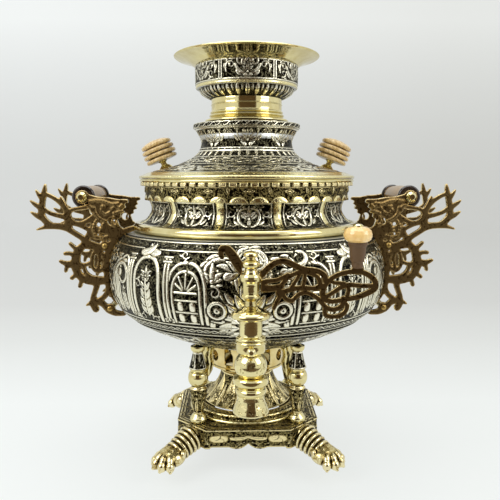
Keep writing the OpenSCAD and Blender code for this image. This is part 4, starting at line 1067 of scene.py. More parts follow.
# %% Crown cup
def crown_cup():
    z, top, b, r = low("crown_cup"), high("crown_cup"), radius("crown_cup"), CROWN_NECK
    bowl = z + 9
    line = curve([(r + 1, bowl - 9), (r + 7.6, bowl - 6), (r + 13.2, bowl - 2), (r + 14.8, bowl + 2.5)], 5)
    line += [(b - 1.2, bowl + 3), (b - 0.4, bowl + 4.6), (b - 1, bowl + 6), (b, bowl + 6.6), (b, top)]
    sheet = Sheet(line, 0.8)
    step = sheet.up(bowl + 3.2)
    for k in range(30):
        stamp(sheet, leaf(step - 2, 5.4), (12 * k, 1), 90, gap=0.6)
        stamp(sheet, leaf(step * 0.55, 2.4), (12 * k + 6, step * 0.4), 90, gap=0.6)
    band_low, band_high = sheet.up(bowl + 7.4), sheet.tall
    leave_plain(sheet, step, band_low)
    line_round(sheet, band_low + 0.4, 1.6)
    line_round(sheet, band_high - 0.8, 1.6)
    centre = (band_low + band_high) / 2
    volute = scroll(62, 2, 13, 4.8, leaf_size=15)
    for k in range(6):
        for side in (1, -1):
            beside(sheet, side, volute, 60 * k, 2, centre - 3, 70, 0.72)
            beside(sheet, side, volute, 60 * k, 13, centre + 4, 250, 0.68, flip=True)
            beside(sheet, side, volute, 60 * k, 23, centre - 3, 70, 0.46)
        stamp(sheet, palmette(5, 11, 60), (60 * k, centre - 4), 90)
        for offset in (28.6, 31.4):
            stamp(sheet, bar(0, band_high - band_low, 1.4), (60 * k + offset, band_low), 90)
    fill(sheet, band_low + 2, band_high - 2, (6,))
    inner = [(b - 2, top), (b - 2, bowl + 3), (2, bowl + 3), (2, bowl + 1), (r - 2, bowl + 1), (r - 2, z)]
    cup = chased_piece("crown_cup_chased", sheet, inner, 0.8, (chased, tinned), 480)
    seat(cup, "crown", "brass_engraved", "crown_cup")


crown_cup()

# %% [markdown]
# ## Castings
# Feet, handles, lever and brackets are cast. A casting has no sharp corners: its parts melt into each
# other. So the shapes are joined with a voxel remesh, which welds whatever overlaps, and then relaxed.
# The colour makes the proud places bright and the hollows dark. How far each point stands out of
# its surroundings is found by letting the shape relax a long way, and is kept in `dome`. A flat casting
# has no hollows to speak of, but its edges are rubbed and carry a painted highlight: there `dome` says
# how near an edge is. The handles are flat too, so the stag's brow, cheek and mane are laid on them as
# rows of small lumps.

# %% Melting, and where castings are bright or dark
def melt(piece, grain, relax, swell_by=0.0):
    """Welds the overlapping shells of a piece with voxels of that many mm, and relaxes the skin."""
    weld = piece.modifiers.new("weld", "REMESH")
    weld.mode, weld.voxel_size = "VOXEL", grain * MM
    soft = piece.modifiers.new("relax", "SMOOTH")
    soft.iterations, soft.factor = relax, 0.5
    if swell_by:                       # a thin strand loses a little to the smoothing, and gets it back
        push = piece.modifiers.new("swell", "DISPLACE")
        push.strength, push.mid_level = swell_by * MM, 0.0
    graph = bpy.context.evaluated_depsgraph_get()
    mesh = bpy.data.meshes.new_from_object(piece.evaluated_get(graph))
    piece.modifiers.clear()
    piece.data = mesh
    mesh.shade_smooth()
    return piece


def blur(mesh, columns, passes):
    """Blurs values over the skin: in each pass a point takes the mean of its neighbours."""
    n = len(mesh.vertices)
    a, b = pull(mesh.edges, "vertices", 2, np.int32).T
    degree = np.maximum(np.bincount(a, minlength=n) + np.bincount(b, minlength=n), 1)
    for _ in range(passes):
        columns = [(np.bincount(a, values[b], n) + np.bincount(b, values[a], n)) / degree
                   for values in columns]
    return np.stack(columns, 1)


def store_proudness(piece, passes, depth):
    """Stores in `dome` how far each point stands proud, 0.5 where the skin is flat."""
    mesh = piece.data
    spots = places(mesh)
    proud = ((spots - blur(mesh, spots.T, passes)) * pull(mesh.vertices, "normal", 3)).sum(1) / MM
    put(mesh, "dome", np.clip(0.5 + proud / (2 * depth), 0, 1))
    return piece


def rim_light(piece, passes):
    """For a flat casting: stores in `dome` how near each point is to an edge of its front or back; the bronze
    turns gold there, as rubbed metal with a painted highlight.
    """
    mesh = piece.data
    flat = np.abs(pull(mesh.vertices, "normal", 3)[:, 1]).astype(float)
    put(mesh, "dome", np.clip(1.0 - blur(mesh, [flat], passes)[:, 0], 0, 1))
    return piece


def lump(bm, place, size, turn=(0, 0, 0), fine=14):
    """A soft lump of metal: an ellipsoid, by its half sizes in mm."""
    made = bmesh.ops.create_uvsphere(bm, u_segments=fine * 2 - 4, v_segments=fine, radius=1)
    tilt = Matrix.Rotation(math.radians(turn[2]), 4, "Z") @ Matrix.Rotation(math.radians(turn[1]), 4, "Y")
    move = Matrix.Translation(Vector(place) * MM) @ tilt @ Matrix.Diagonal((*[s * MM for s in size], 1))
    bmesh.ops.transform(bm, matrix=move, verts=made["verts"])


def cast_copy(name, node, material, grain, relax, swell_by=0.3, detail=None):
    """A casting made from a copy of a node's own solid, swollen a little but never out of its box."""
    bm = bmesh.new()
    bm.from_mesh(frame["nodes"][node].data)
    bmesh.ops.remove_doubles(bm, verts=bm.verts, dist=1e-6)
    piece = melt(to_object(bm, name, material), grain, relax, swell_by)
    spots = np.clip(places(piece.data), np.array(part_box(node)[0]), np.array(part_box(node)[1]))
    move_to(piece.data, spots)
    if detail:
        bm = bmesh.new()
        detail(bm)
        bm.from_mesh(piece.data)
        melted = melt(to_object(bm, name + "_detailed", material), grain, 1)
        piece.data = melted.data
        bpy.data.objects.remove(melted)
    return piece


# %% [markdown]
# ## Cast metals
# The handles and the lever are bronze with an old brown patina, rubbed to gold along their edges, where
# the gold is also a painted highlight. Fine chaser's lines run over the flats. The feet are yellow brass,
# dark in the cuts.

# %% Cast bronze and cast brass
def cast_metal(name, stops, roughness, vein_scale, vein_depth, vein_tone):
    """Dark where `dome` is low and bright where it is high, with thin darker veins: on flat castings a
    painted highlight along the edges, on the feet dark hollows.
    """
    material = new_material(name)
    place = add(material, "TexCoord").outputs["Object"]
    dome = add(material, "Attribute", {"attribute_name": "dome"})
    cloud = add(material, "TexNoise", {"Scale": 55.0, "Detail": 5.0, "Roughness": 0.65}, Vector=place)
    shifted = add(material, "Math", {"operation": "MULTIPLY_ADD", 1: 0.30, 2: -0.15}, i0=cloud)
    proud = add(material, "Math", {"operation": "ADD"}, i0=dome.outputs["Fac"], i1=shifted)
    tone = ramp(material, proud, stops)
    vein = add(material, "TexNoise", {"Scale": vein_scale, "Detail": 1.5, "Distortion": 0.6}, Vector=place)
    steps = add(material, "Math", {"operation": "MULTIPLY", 1: 7.0}, i0=vein)
    folds = add(material, "Math", {"operation": "PINGPONG", 1: 1.0}, i0=steps)
    line = ramp(material, folds, [(0.0, 1.0), (0.28, 0.0)])
    dark = add(material, "MixRGB", {"blend_type": "MULTIPLY", "Color2": linear(vein_tone)},
               Fac=line, Color1=tone)
    rough = ramp(material, proud, [(0.35, roughness[1]), (0.7, roughness[0])])
    bump = add(material, "Bump", {"Strength": vein_depth, "Distance": 0.0004, "invert": True}, Height=line)
    shader = add(material, "BsdfPrincipled", {"Metallic": 1.0}, Base_Color=dark, Roughness=rough, Normal=bump)
    return finish_material(material, shader)


# The two upper stops paint the gold of the rubbed edges together with a painted highlight.
aged_bronze = cast_metal("cast bronze with brown patina",
                         [(0.12, "#7a6540"), (0.32, "#94794a"), (0.5, "#cdb680"), (0.7, "#f2e3b8")],
                         (0.18, 0.36), 150.0, 0.2, "#7d6848")
# On the feet the darkest stop fills the hollows, the lighter ones the proud places.
cast_brass = cast_metal("cast yellow brass",
                        [(0.30, "#2a200e"), (0.45, "#a58f55"), (0.6, "#d6c68c"), (0.8, "#efe2b4")],
                        (0.14, 0.4), 120.0, 0.12, "#b8a67c")

# %% Handles
def ridge(bm, points, face, thick, lift):
    """A raised line on a flat casting, through (x, z) points, laid as a row of soft lumps."""
    line = curve(points, 3)
    for n, (x, z) in enumerate(line):
        size = thick * (0.75 + 0.5 * math.sin(math.pi * n / (len(line) - 1)))
        lump(bm, (x, face, z), (size, lift, size), fine=8)


STAG = {            # what stands proud on the stag's head: (x from the axis, z), width, height in mm
    "brow": ([(184, 303), (176, 304), (167, 303), (158, 300), (150, 301)], 1.7, 2.4),
    "cheek": ([(178, 296), (177, 289), (172, 283), (165, 280)], 1.6, 1.8),
    "jaw": ([(160, 291), (166, 288), (170, 292), (168, 296)], 1.2, 1.5),
    "muzzle": ([(146, 299), (149, 296), (154, 297), (158, 294)], 1.6, 2.0),
    "lip": ([(145, 292), (150, 291), (156, 289)], 1.3, 1.8),
    "beard": ([(156, 285), (158, 278), (154, 275), (152, 279)], 1.5, 2.2),
    "ear": ([(186, 299), (182, 296), (181, 291)], 2.0, 2.2),
    "mane": ([(176, 281), (180, 272), (178, 263)], 1.3, 1.8),
    "mane_low": ([(168, 277), (172, 268), (170, 259)], 1.3, 1.8),
}
STAG_EYE = (167.5, 297.5)


def stag_detail(side, face):
    """What draws the stag's head on one outer face of a handle plate, at y = face."""
    def carve(bm):
        for points, thick, lift in STAG.values():
            ridge(bm, [(side * x, z) for x, z in points], face, thick, lift)
        lump(bm, (side * STAG_EYE[0], face, STAG_EYE[1]), (2.6, 2.0, 1.5), (0, side * 12, 0))
    return carve


def handles():
    for side in ("left", "right"):
        for depth in ("front", "back"):
            node = "handle_" + side + "_" + depth
            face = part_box(node)[0 if depth == "front" else 1].y / MM
            carve = stag_detail(-1 if side == "left" else 1, face)
            piece = cast_copy(node + "_cast", node, aged_bronze, 0.86, 1, 0.55, carve)
            seat(rim_light(piece, 3), "urn", "bronze_aged", node)


handles()
lever = cast_copy("lever_cast", "key_lever", aged_bronze, 0.55, 2, 0.9)
seat(rim_light(lever, 3), "key", "bronze_aged", "key_lever")
brackets = cast_copy("post_brackets_cast", "post_brackets", brass, 0.9, 8)
seat(brackets, "urn", "brass_cast", "post_brackets")

# %% [markdown]
# ## Lion feet
# Each foot leaves the cut corner of the plate as a ribbed sleeve and ends in a paw with four toes. It
# starts from spheres and rings, laid along the way that the leg takes, and is melted into one casting.

# %% Feet
CORNERS = {"front_left": 225, "front_right": 315, "back_left": 135, "back_right": 45}   # degrees from +x
PAW_REACH = 127.5      # distance of the paw's middle from the urn's axis
PLATE_CORNER = 95.5    # distance of the plate's cut corner from the axis


def foot_shapes(bm):
    top = Vector((PLATE_CORNER + 1, 0, 23.5))
    ankle = Vector((PAW_REACH - 5, 0, 13))
    slope = ankle - top
    lean = math.degrees(math.atan2(-slope.z, slope.x))
    core = bmesh.ops.create_cone(bm, cap_ends=True, segments=32, radius1=14.5 * MM, radius2=11.5 * MM,
                                 depth=(slope.length + 8) * MM)
    place = Matrix.Translation((top + slope * 0.42) * MM) @ Matrix.Rotation(math.radians(90 + lean), 4, "Y")
    bmesh.ops.transform(bm, matrix=place, verts=core["verts"])
    for k in range(5):
        t = k / 4
        thick = 16.8 - 3.0 * t
        lump(bm, top + slope * (t * 0.86), (4.3, thick, thick), (0, lean, 0))
    lump(bm, (PAW_REACH - 2, 0, 11), (16.5, 17, 11.5))
    lump(bm, (PAW_REACH - 4, 0, 17), (11, 13, 6.8))
    for side in (-1, 1):
        lump(bm, (PAW_REACH - 1, side * 6, 19.5), (7, 3.6, 3.4), (0, 24, side * 20))
        lump(bm, (PAW_REACH - 9, side * 12.5, 15), (6, 3.4, 5.5), (0, 30, side * 35))
    lump(bm, (PAW_REACH + 2, 0, 19), (6.5, 3.0, 3.2), (0, 26, 0))
    for turn in (-51, -17, 17, 51):
        a = math.radians(turn)
        way = Vector((math.cos(a), math.sin(a), 0))
        root = Vector((PAW_REACH, 0, 0))
        lump(bm, root + way * 10.5 + Vector((0, 0, 11.0)), (8.6, 5.3, 7.4), (0, 24, turn))
        lump(bm, root + way * 16.2 + Vector((0, 0, 6.2)), (6.2, 5.2, 6.4), (0, 20, turn))
        lump(bm, root + way * 20.6 + Vector((0, 0, 2.6)), (2.4, 2.2, 2.2), (0, 30, turn))


def feet():
    for corner, turn in CORNERS.items():
        bm = bmesh.new()
        foot_shapes(bm)
        spin = Matrix.Rotation(math.radians(turn), 3, "Z")
        bmesh.ops.rotate(bm, cent=(0, 0, 0), matrix=spin, verts=bm.verts)
        piece = melt(to_object(bm, "foot_" + corner + "_cast", cast_brass), 0.75, 2)
        spots = places(piece.data)
        spots[:, 2] = np.maximum(spots[:, 2], 0)
        move_to(piece.data, spots)
        seat(store_proudness(piece, 18, 0.6), "urn", "brass_cast", "foot_" + corner)


feet()

# %% [markdown]
# ## The base
# The plate is a square with cut corners. It is drawn like the turned pieces, as a round sheet, and then
# pressed out to eight sides. Its top has a border line and a stippled ground, and the skirt has a plain
# plaque between two oval medallions. The lower edge of the skirt swings in two lobes on each side.

# %% Base plate
PLATE_HALF = 85
PLATE_CUT = 35
SKIRT = 24
LOBE_OFF = 14          # middle of a lobe of the skirt, from the middle of its side
LOBE_RADIUS = 18.5


def plate_reach(turn):
    """Distance from the axis to the plate's eight-sided edge, for angles in radians."""
    x, y = np.abs(np.cos(turn)), np.abs(np.sin(turn))
    return np.minimum(PLATE_HALF / np.maximum(x, y), (2 * PLATE_HALF - PLATE_CUT) / (x + y))


def skirt_rise(along):
    """How far the skirt's lower edge lies above its lowest line, by the place along one side."""
    out = np.abs(along)
    arc = LOBE_RADIUS - np.sqrt(np.clip(LOBE_RADIUS ** 2 - (out - LOBE_OFF) ** 2, 0, None))
    rise = np.where(out < LOBE_OFF, arc, np.minimum(arc, 2))
    return np.where(out < PLATE_HALF - PLATE_CUT, rise, 0)


def press_plate(spots):
    turn = np.arctan2(spots[:, 1], spots[:, 0])
    grow = plate_reach(turn) / PLATE_HALF
    spots[:, 0] *= grow
    spots[:, 1] *= grow
    x, y = spots[:, 0] / MM, spots[:, 1] / MM
    along = np.where(np.abs(x) > np.abs(y), y, x)
    high_edge = high("base_plate")
    share = np.clip((high_edge - 3 - spots[:, 2] / MM) / (SKIRT - 3), 0, 1)
    on_corner = np.abs(x) + np.abs(y) > 2 * PLATE_HALF - PLATE_CUT - 6
    spots[:, 2] += np.where(on_corner, 0, skirt_rise(along)) * share * MM
    return spots


def base_plate():
    top, bottom = high("base_plate"), low("base_plate")
    hole = 41
    line = [(PLATE_HALF, bottom), (PLATE_HALF, top - 0.8), (PLATE_HALF - 0.8, top), (hole, top)]
    sheet = Sheet(line, 0.9)
    corner = SKIRT + 0.4
    line_round(sheet, 1.0, 1.8)
    line_round(sheet, SKIRT - 1.8, 1.8)
    line_round(sheet, corner + 2.2, 1.6)
    line_round(sheet, corner + 6.0, 1.2)
    oval = [([(-3.4, 0), (3.4, 0)], 10.4, False), (tendril(17, 8, 24, (-4, -2)), 0.7, True),
            (tendril(11, -10, -26, (1, 1)), 0.6, True)]
    small, large = scroll(40, 3, 18, 2.2, (0.2, 0.5), 8), scroll(44, 3, 16, 2.4, (0.2, 0.4), 9)
    plaque = [([(-19, 0), (19, 0)], 4.4, False), ([(-17.5, 0), (17.5, 0)], 0.5, True)]
    for front in range(0, 360, 90):
        for side in (1, -1):
            beside(sheet, side, small, front, 3, 6.2, 10, 0.66, flip=True)
            beside(sheet, side, small, front, 15, 5.2, 10, 0.6)
            beside(sheet, side, large, front, 14, 17.6, 10, 0.5, flip=True)
            beside(sheet, side, large, front, 29, 6, 80, 0.6, flip=True)
            stamp(sheet, oval, (front + side * 21.8, SKIRT * 0.48), gap=1.2)
        stamp(sheet, plaque, (front, SKIRT * 0.52), gap=1.0)
        stamp(sheet, palmette(5, 10, 66), (front + 45, 4), 90, 1.2)
        for side in (1, -1):
            beside(sheet, side, scroll(50, 3, 14, 2.6), front + 45, 2.4, 4, 45, 0.7)
    for k in range(36):
        stamp(sheet, scroll(40, 3, 15, 2.0, (0.2, 0.4), 8), (10 * k, corner + 13), 0, 0.8, flip=k % 2 > 0)
    under = [(hole, top - 3), (PLATE_HALF - 3, top - 3), (PLATE_HALF - 3, bottom)]
    plate = chased_piece("base_plate_chased", sheet, under, 0.6, (chased_gold, plain_brass), 720,
                         reshape=press_plate)
    seat(plate, "urn", "brass_engraved", "base_plate")


base_plate()

# %% Plinth and pedestal bell
def plinth_ring():
    z, r, top = low("plinth_ring"), radius("plinth_ring"), high("plinth_ring")
    line = [(r, z), (r, z + 1.6), (r - 0.8, z + 2.8), (r - 3, z + 3.6), (r - 3, top - 2.4),
            (r - 2, top - 1.8), (r - 2, top - 0.8), (r - 3, top), (r - 17, top)]
    sheet = Sheet(line, 0.75)
    low_line, high_line = sheet.up(z + 3.4), sheet.up(top - 2.2)
    leave_plain(sheet, 0, low_line)
    leave_plain(sheet, high_line, high_line + 4.6)
    ring(sheet, scroll(22, 8, 26, 1.4, (0.25,), 4), 40, low_line + 1.4, 15, 0.62, gap=0.4)
    knot = [(5.4 * math.cos(a), 2.6 * math.sin(2 * a)) for a in np.linspace(0, math.tau, 26)]
    ring(sheet, [(knot, 1.3, False)], 36, high_line + 10.5, gap=0.4)
    line_round(sheet, sheet.tall - 2.4, 1.4)
    under = [(r - 17, top - 3), (r - 8, top - 3), (r - 8, z)]
    plinth = chased_piece("plinth_chased", sheet, under, 0.7, (chased_gold, plain_brass), 520)
    seat(plinth, "urn", "brass_engraved", "plinth_ring")


def pedestal_bell():
    z, foot, neck, h = low("pedestal_bell"), 56, 33, high("pedestal_bell") - low("pedestal_bell")
    line = [(foot, z), (foot, z + 1.2)]
    line += [(neck + (foot - 2 - neck) * (1 - t) ** 1.7, z + 2 + (h - 2) * t) for t in np.linspace(0, 1, 14)]
    sheet = Sheet(line, 0.9)
    for k in range(12):
        stamp(sheet, leaf(40, 15), (30 * k, 3), 90)
        for side in (1, -1):
            beside(sheet, side, scroll(34, 3, 15, 2.2), 30 * k, 4, 6, 60, 0.8)
        stamp(sheet, leaf(30, 6), (30 * k + 15, 3), 90)
    line_round(sheet, 1.6, 2.2)
    line_round(sheet, sheet.tall - 1.4, 2.2)
    inner = inset_line(sheet, WALL, 8)
    bell = chased_piece("pedestal_chased", sheet, inner, 0.9, (chased_gold, plain_brass), 400)
    seat(bell, "urn", "brass_engraved", "pedestal_bell")


plinth_ring()
pedestal_bell()

# %% [markdown]
# ## The posts
# Four turned posts carry the rim of the bowl. Each has a chased vase below, a polished bulb with rings
# in the middle, and a chased cone above.

# %% Posts
POST_FROM_AXIS = 83.4
POST_RADIUS = 12


def draw_post(vase, cone):
    lower, upper = Sheet(curve(vase, 3), 0.7, 4.0), Sheet(curve(cone, 4), 0.7, 4.0)
    for k in range(6):
        stamp(lower, leaf(15, 4.6), (60 * k, 14), 90, gap=0.5)
        stamp(lower, scroll(26, 5, 20, 1.6, (0.3,), 6), (60 * k + 8, 24), 70, 0.8, gap=0.4)
        stamp(lower, scroll(26, 5, 20, 1.6, (0.3,), 6), (60 * k + 34, 37), -70, 0.8, gap=0.4)
        stamp(upper, scroll(22, 6, 24, 1.4, (0.3,), 5), (60 * k, 3), 70, 0.75, gap=0.4)
        stamp(upper, leaf(9, 2.6), (60 * k + 30, 10), 90, gap=0.4)
    leave_plain(lower, 0, 11.5)
    for sheet, way, width in ((lower, 13, 1.6), (lower, lower.tall - 3, 4.0), (upper, 0.8, 1.6),
                              (upper, upper.tall - 1.2, 2.2)):
        line_round(sheet, way, width)
    for k in range(4):
        stamp(upper, bar(0, 22, 1.5), (90 * k + 22, 0), 90, gap=0.3)
    return lower, upper


def posts():
    z, r = high("base_plate"), POST_RADIUS
    vase = [(10, z), (10.4, z + 4), (8, z + 8), (6, z + 11), (7.4, z + 18), (9, z + 26), (10.8, z + 37),
            (10, z + 41), (8.4, z + 43), (8.4, z + 45)]
    bulb = [(0, z + 45), (8, z + 45), *bead_arc(r - 4.5, z + 54, 8.6, -78, 78, 0.52, 12), (9.5, z + 63.4),
            (9.5, z + 65), (r - 1, z + 66), (0, z + 66)]
    cone = [(r - 1, z + 66), (9.6, z + 71), (7.8, z + 78), (6.4, z + 84), (6.2, z + 86)]
    cap = [(0, z + 85.6), (6, z + 85.6), (8, z + 87.4), (8.6, z + 90), (8.6, z + 92.6), (0, z + 92.6)]
    lower, upper = draw_post(vase, cone)
    vase_core, cone_core = [(0, z + 45), (0, z)], [(0, z + 86), (0, z + 66)]
    off_axis = Matrix.Translation(Vector((POST_FROM_AXIS, 0, 0)) * MM)
    for corner, turn in CORNERS.items():
        node = "post_" + corner
        place = Matrix.Rotation(math.radians(turn), 4, "Z") @ off_axis
        for part, sheet, core, skin in (("_vase", lower, vase_core, chased_gold),
                                        ("_cone", upper, cone_core, chased)):
            piece = chased_piece(node + part, sheet, core, 0.6, (skin, plain_brass), 84, place=place)
            seat(piece, "urn", "brass_engraved", node)
        for part, profile in (("_bulb", bulb), ("_cap", cap)):
            seat(turned(node + part, profile, brass, 64, place, corner=0.5), "urn", "brass_engraved", node)


posts()

# %% [markdown]
# ## Wood, resin and horn
# The lid knobs are turned from pale wood and waxed, with three grooves burnt dark by a wire held
# against the spinning work. The lever knob is cast amber resin on a post of dark wood. Each grip is a
# barrel of pale wood between two discs of polished black horn.

# %% Knob materials
def gloss(name, colours, roughness, scale, coat=0.0, metal=0.0, bump_depth=0.1):
    """A finish with cloudy colour: resin, horn, iron or steel."""
    material = new_material(name)
    place = add(material, "TexCoord").outputs["Object"]
    cloud = add(material, "TexNoise", {"Scale": scale, "Detail": 4.0, "Distortion": 0.8}, Vector=place)
    tone = ramp(material, cloud, [(0.3, colours[0]), (0.7, colours[1])])
    rough = ramp(material, cloud, [(0.3, roughness[0]), (0.7, roughness[1])])
    bump = add(material, "Bump", {"Strength": bump_depth, "Distance": 0.0004}, Height=cloud)
    shader = add(material, "BsdfPrincipled", {"Metallic": metal, "Coat Weight": coat, "Coat Roughness": 0.06},
                 Base_Color=tone, Roughness=rough, Normal=bump)
    return finish_material(material, shader)


def waxed_wood(name, pale, deep, burnt, shine=0.35):
    """Wood with its grain upright, burnt dark in the hollows; a piece without `dome` is burnt all over."""
    material = new_material(name)
    place = add(material, "TexCoord").outputs["Object"]
    stretch = add(material, "Mapping", {"Scale": (1.0, 1.0, 0.18)}, Vector=place)
    grain = add(material, "TexNoise", {"Scale": 420.0, "Detail": 5.0, "Distortion": 0.4}, Vector=stretch)
    dome = add(material, "Attribute", {"attribute_name": "dome"})
    body = ramp(material, grain, [(0.35, deep), (0.65, pale)])
    burn = ramp(material, dome.outputs["Fac"], [(0.3, 1.0), (0.46, 0.0)])
    tone = add(material, "MixRGB", {"Color2": linear(burnt)}, Fac=burn, Color1=body)
    bump = add(material, "Bump", {"Strength": 0.12, "Distance": 0.0003}, Height=grain)
    shader = add(material, "BsdfPrincipled",
                 {"Roughness": 0.67 - shine, "Coat Weight": shine, "Coat Roughness": 0.12},
                 Base_Color=tone, Normal=bump)
    return finish_material(material, shader)


pale_wood = waxed_wood("turned pale wood, waxed", "#e0c48c", "#b8955a", "#1c0d04")
dark_wood = waxed_wood("turned walnut, stained", "#6a4a26", "#452c13", "#5a4022", shine=0.05)

amber = gloss("amber resin", ("#d9a551", "#f1d291"), (0.16, 0.24), 60.0, coat=0.6, bump_depth=0.03)
horn = gloss("polished black horn", ("#0d0603", "#33251a"), (0.12, 0.3), 90.0, coat=0.3, bump_depth=0.05)
grip_wood = waxed_wood("turned pale wood of the grips", "#e4cd92", "#c4a263", "#8a6a34")

# %% Lid knobs
def lid_knobs():
    size, tall, discs, groove, rounding = 20.5, 27, 4, 5.0, 1.6
    pitch = tall * 0.9 / discs
    half = pitch * 0.36
    profile = [(0, 0)]
    for k in range(discs):
        middle_z = pitch * (k + 0.5)
        wide = size * (0.9 + 0.1 * math.sin(math.pi * (k + 0.7) / discs))
        profile += [(wide - groove, middle_z - half - 0.2)]
        profile += [(wide - rounding + rounding * math.cos(a), middle_z + half * math.sin(a))
                    for a in np.linspace(-1.35, 1.35, 7)]
        profile += [(wide - groove, middle_z + half + 0.2)]
    profile = profile[:-1] + [(size * 0.62, tall * 0.95), (size * 0.3, tall), (0, tall)]
    lean, off, base_z, stem = 22, 100, low("lid_cover") + LID_SPIGOT + 13, 9
    for side, node in ((-1, "lid_knob_left"), (1, "lid_knob_right")):
        place = (Matrix.Translation(Vector((side * off, 0, base_z)) * MM)
                 @ Matrix.Rotation(math.radians(side * lean), 4, "Y") @ Matrix.Translation((0, 0, stem * MM)))
        knob = turned(node + "_turned", profile, pale_wood, 96, place, corner=0.3, longest=1.2, closed=False)
        seat(store_proudness(knob, 14, 0.6), "lid", "wood_turned", node)


lid_knobs()

# %% Grips
def grips():
    """A grip is a barrel of pale wood with a black horn disc at each end, on a rod."""
    disc, hole = 6, 3
    for node in ("grip_left", "grip_right"):
        near, far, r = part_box(node)[0].y / MM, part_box(node)[1].y / MM, radius(node)
        axis = Vector((middle(node).x, 0, middle(node).z))
        place = Matrix.Translation(axis * MM) @ Matrix.Rotation(math.radians(-90), 4, "X")
        for end, start in (("near", near), ("far", far - disc)):
            washer = [(hole, start), (r - 1.4, start), (r, start + 1.6), (r, start + disc - 1.6),
                      (r - 1.4, start + disc), (hole, start + disc)]
            seat(turned(node + "_disc_" + end, washer, horn, 64, place), "urn", "black_grip", node)
        span = far - near - 2 * disc
        swelling = [(r - 2.2 + 1.4 * math.sin(math.pi * t), near + disc + span * t)
                    for t in np.linspace(0, 1, 12)]
        barrel = [(hole, near + disc), *swelling, (hole, far - disc)]
        seat(turned(node + "_barrel", barrel, grip_wood, 64, place), "urn", "wood_turned", node)


grips()

# %% [markdown]
# ## The tap
# Everything on the tap is turned: the valve body with its flange, the bonnet that sheds drips, and the
# spout with a ball, two rings and a small bell. The key's hub and finial turn with the plug. The ball
# and the bell have light graver's work. Petals chased in the escutcheon go on in the belly's relief.

# %% Tap
SPOUT_BORE = 9          # radius
ESCUTCHEON_BACK = 24    # how far the escutcheon's drawing starts behind the belly's widest line

tap_level = middle("tap_escutcheon").z


def spout(place):
    z, bore = low("tap_spout"), SPOUT_BORE
    bell = [(bore, z), (16.4, z), (17.6, z + 1.2),
            *curve([(17.6, z + 2.4), (16, z + 7), (13.8, z + 12.6), (13.2, z + 18)]), (bore, z + 18)]
    rings = [(bore, z + 18), (13.2, z + 18), *bead_arc(12.8, z + 22, 3.2, -80, 80, 0.66, 10), (13.4, z + 26),
             *curve([(13.8, z + 26.6), (15, z + 28), (17, z + 30)], 3), (17.2, z + 31), (17.2, z + 34.8),
             (16, z + 36.4), (bore, z + 36.4)]
    ball = [(bore, z + 36), *bead_arc(0, z + 47, 15.8, -42, 51, 1.0, 18), (bore, z + 59.4)]
    tube = [(bore, z + 58.8), (10.4, z + 59), (13.6, z + 61), (14, z + 62.4), (14, z + 68.4),
            (15, z + 69.6), (15, z + 70.8), (14.2, z + 72), (bore, z + 72)]
    for name, profile, material in (("spout_bell", bell, etched), ("spout_rings", rings, brass),
                                    ("spout_ball", ball, etched), ("spout_tube", tube, brass)):
        seat(turned(name, profile, material, 96, place, corner=0.25), "urn", "brass_polished", "tap_spout")


def valve(place, y):
    z, top = low("tap_body"), high("tap_body")
    body = [(0, z), (13.6, z), (14.3, z + 0.7), (14.3, z + 2.6), (12.6, z + 4), (11, z + 5.2),
            (11, top), (0, top)]
    seat(turned("tap_valve", body, brass, 96, place, corner=0.3), "urn", "brass_polished", "tap_body")
    lie = Matrix.Translation(Vector((0, y, tap_level)) * MM) @ Matrix.Rotation(math.radians(-90), 4, "X")
    pipe = [(0, 0), (8, 0), (8, 48), (0, 48)]
    seat(turned("tap_pipe", pipe, brass, 64, lie), "urn", "brass_polished", "tap_body")
    shed = curve([(19, top + 4.2), (17.4, top + 6), (13.4, top + 8.2), (9.2, top + 9.9), (7, top + 11.5)])
    bonnet = [(4.2, top), (17.2, top), (19, top + 1.6), *shed, (4.2, top + 11.5)]
    seat(turned("bonnet_turned", bonnet, brass, 96, place, corner=0.3), "urn", "brass_polished", "tap_bonnet")


def tap_key(place):
    z = low("key_hub")
    hub = [(0, z), (6, z), (5.4, z + 5), (7.2, z + 7.2), (9.2, z + 8.4), (9.4, z + 9.4), (9.2, z + 10.4),
           (8, z + 11.6), (8, z + 19.6), *curve([(8, z + 20), (8.6, z + 22.4), (10.2, z + 24.4)], 4),
           (10.4, z + 25.4), (10.4, z + 28.6), (9, z + 31), (0, z + 31)]
    seat(turned("hub_turned", hub, brass, 72, place, corner=0.2), "key", "brass_polished", "key_hub")
    z = high("key_hub")
    finial = [(0, z), (7, z), (5.6, z + 3), (5.6, z + 5.4),
              *curve([(8.2, z + 6.8), (9, z + 9), (8.4, z + 11.2)], 4),
              *curve([(5.6, z + 12.8), (4.3, z + 14.4), (4.6, z + 15.4)], 3), (6.8, z + 16.2),
              (7.1, z + 17.8), (6.6, z + 19.6), (3, z + 21.4), (0, z + 22)]
    seat(turned("finial_turned", finial, brass, 72, place, corner=0.2), "key", "brass_polished", "key_finial")


def escutcheon():
    r = radius("tap_escutcheon")
    face = Sheet(curve([(r, 13), (r, 19), (r - 2.4, 22), (r - 5, 24.4), (11, 28)], 4), 0.6)
    ring(face, leaf(face.tall - 1, 6.4), PETALS, 0.6, 90, gap=0.6)
    stand = (Matrix.Translation(Vector((0, ESCUTCHEON_BACK - BELLY_RADIUS, tap_level)) * MM)
             @ Matrix.Rotation(math.radians(90), 4, "X"))
    plate = chased_piece("escutcheon_chased", face, [(8, 28), (8, 13)], 0.8, (chased, plain_brass), 200,
                         place=stand)
    seat(plate, "urn", "brass_polished", "tap_escutcheon")


tap_y = middle("key_hub").y
on_tap = Matrix.Translation(Vector((0, tap_y, 0)) * MM)
spout(on_tap)
valve(on_tap, tap_y)
tap_key(on_tap)
escutcheon()

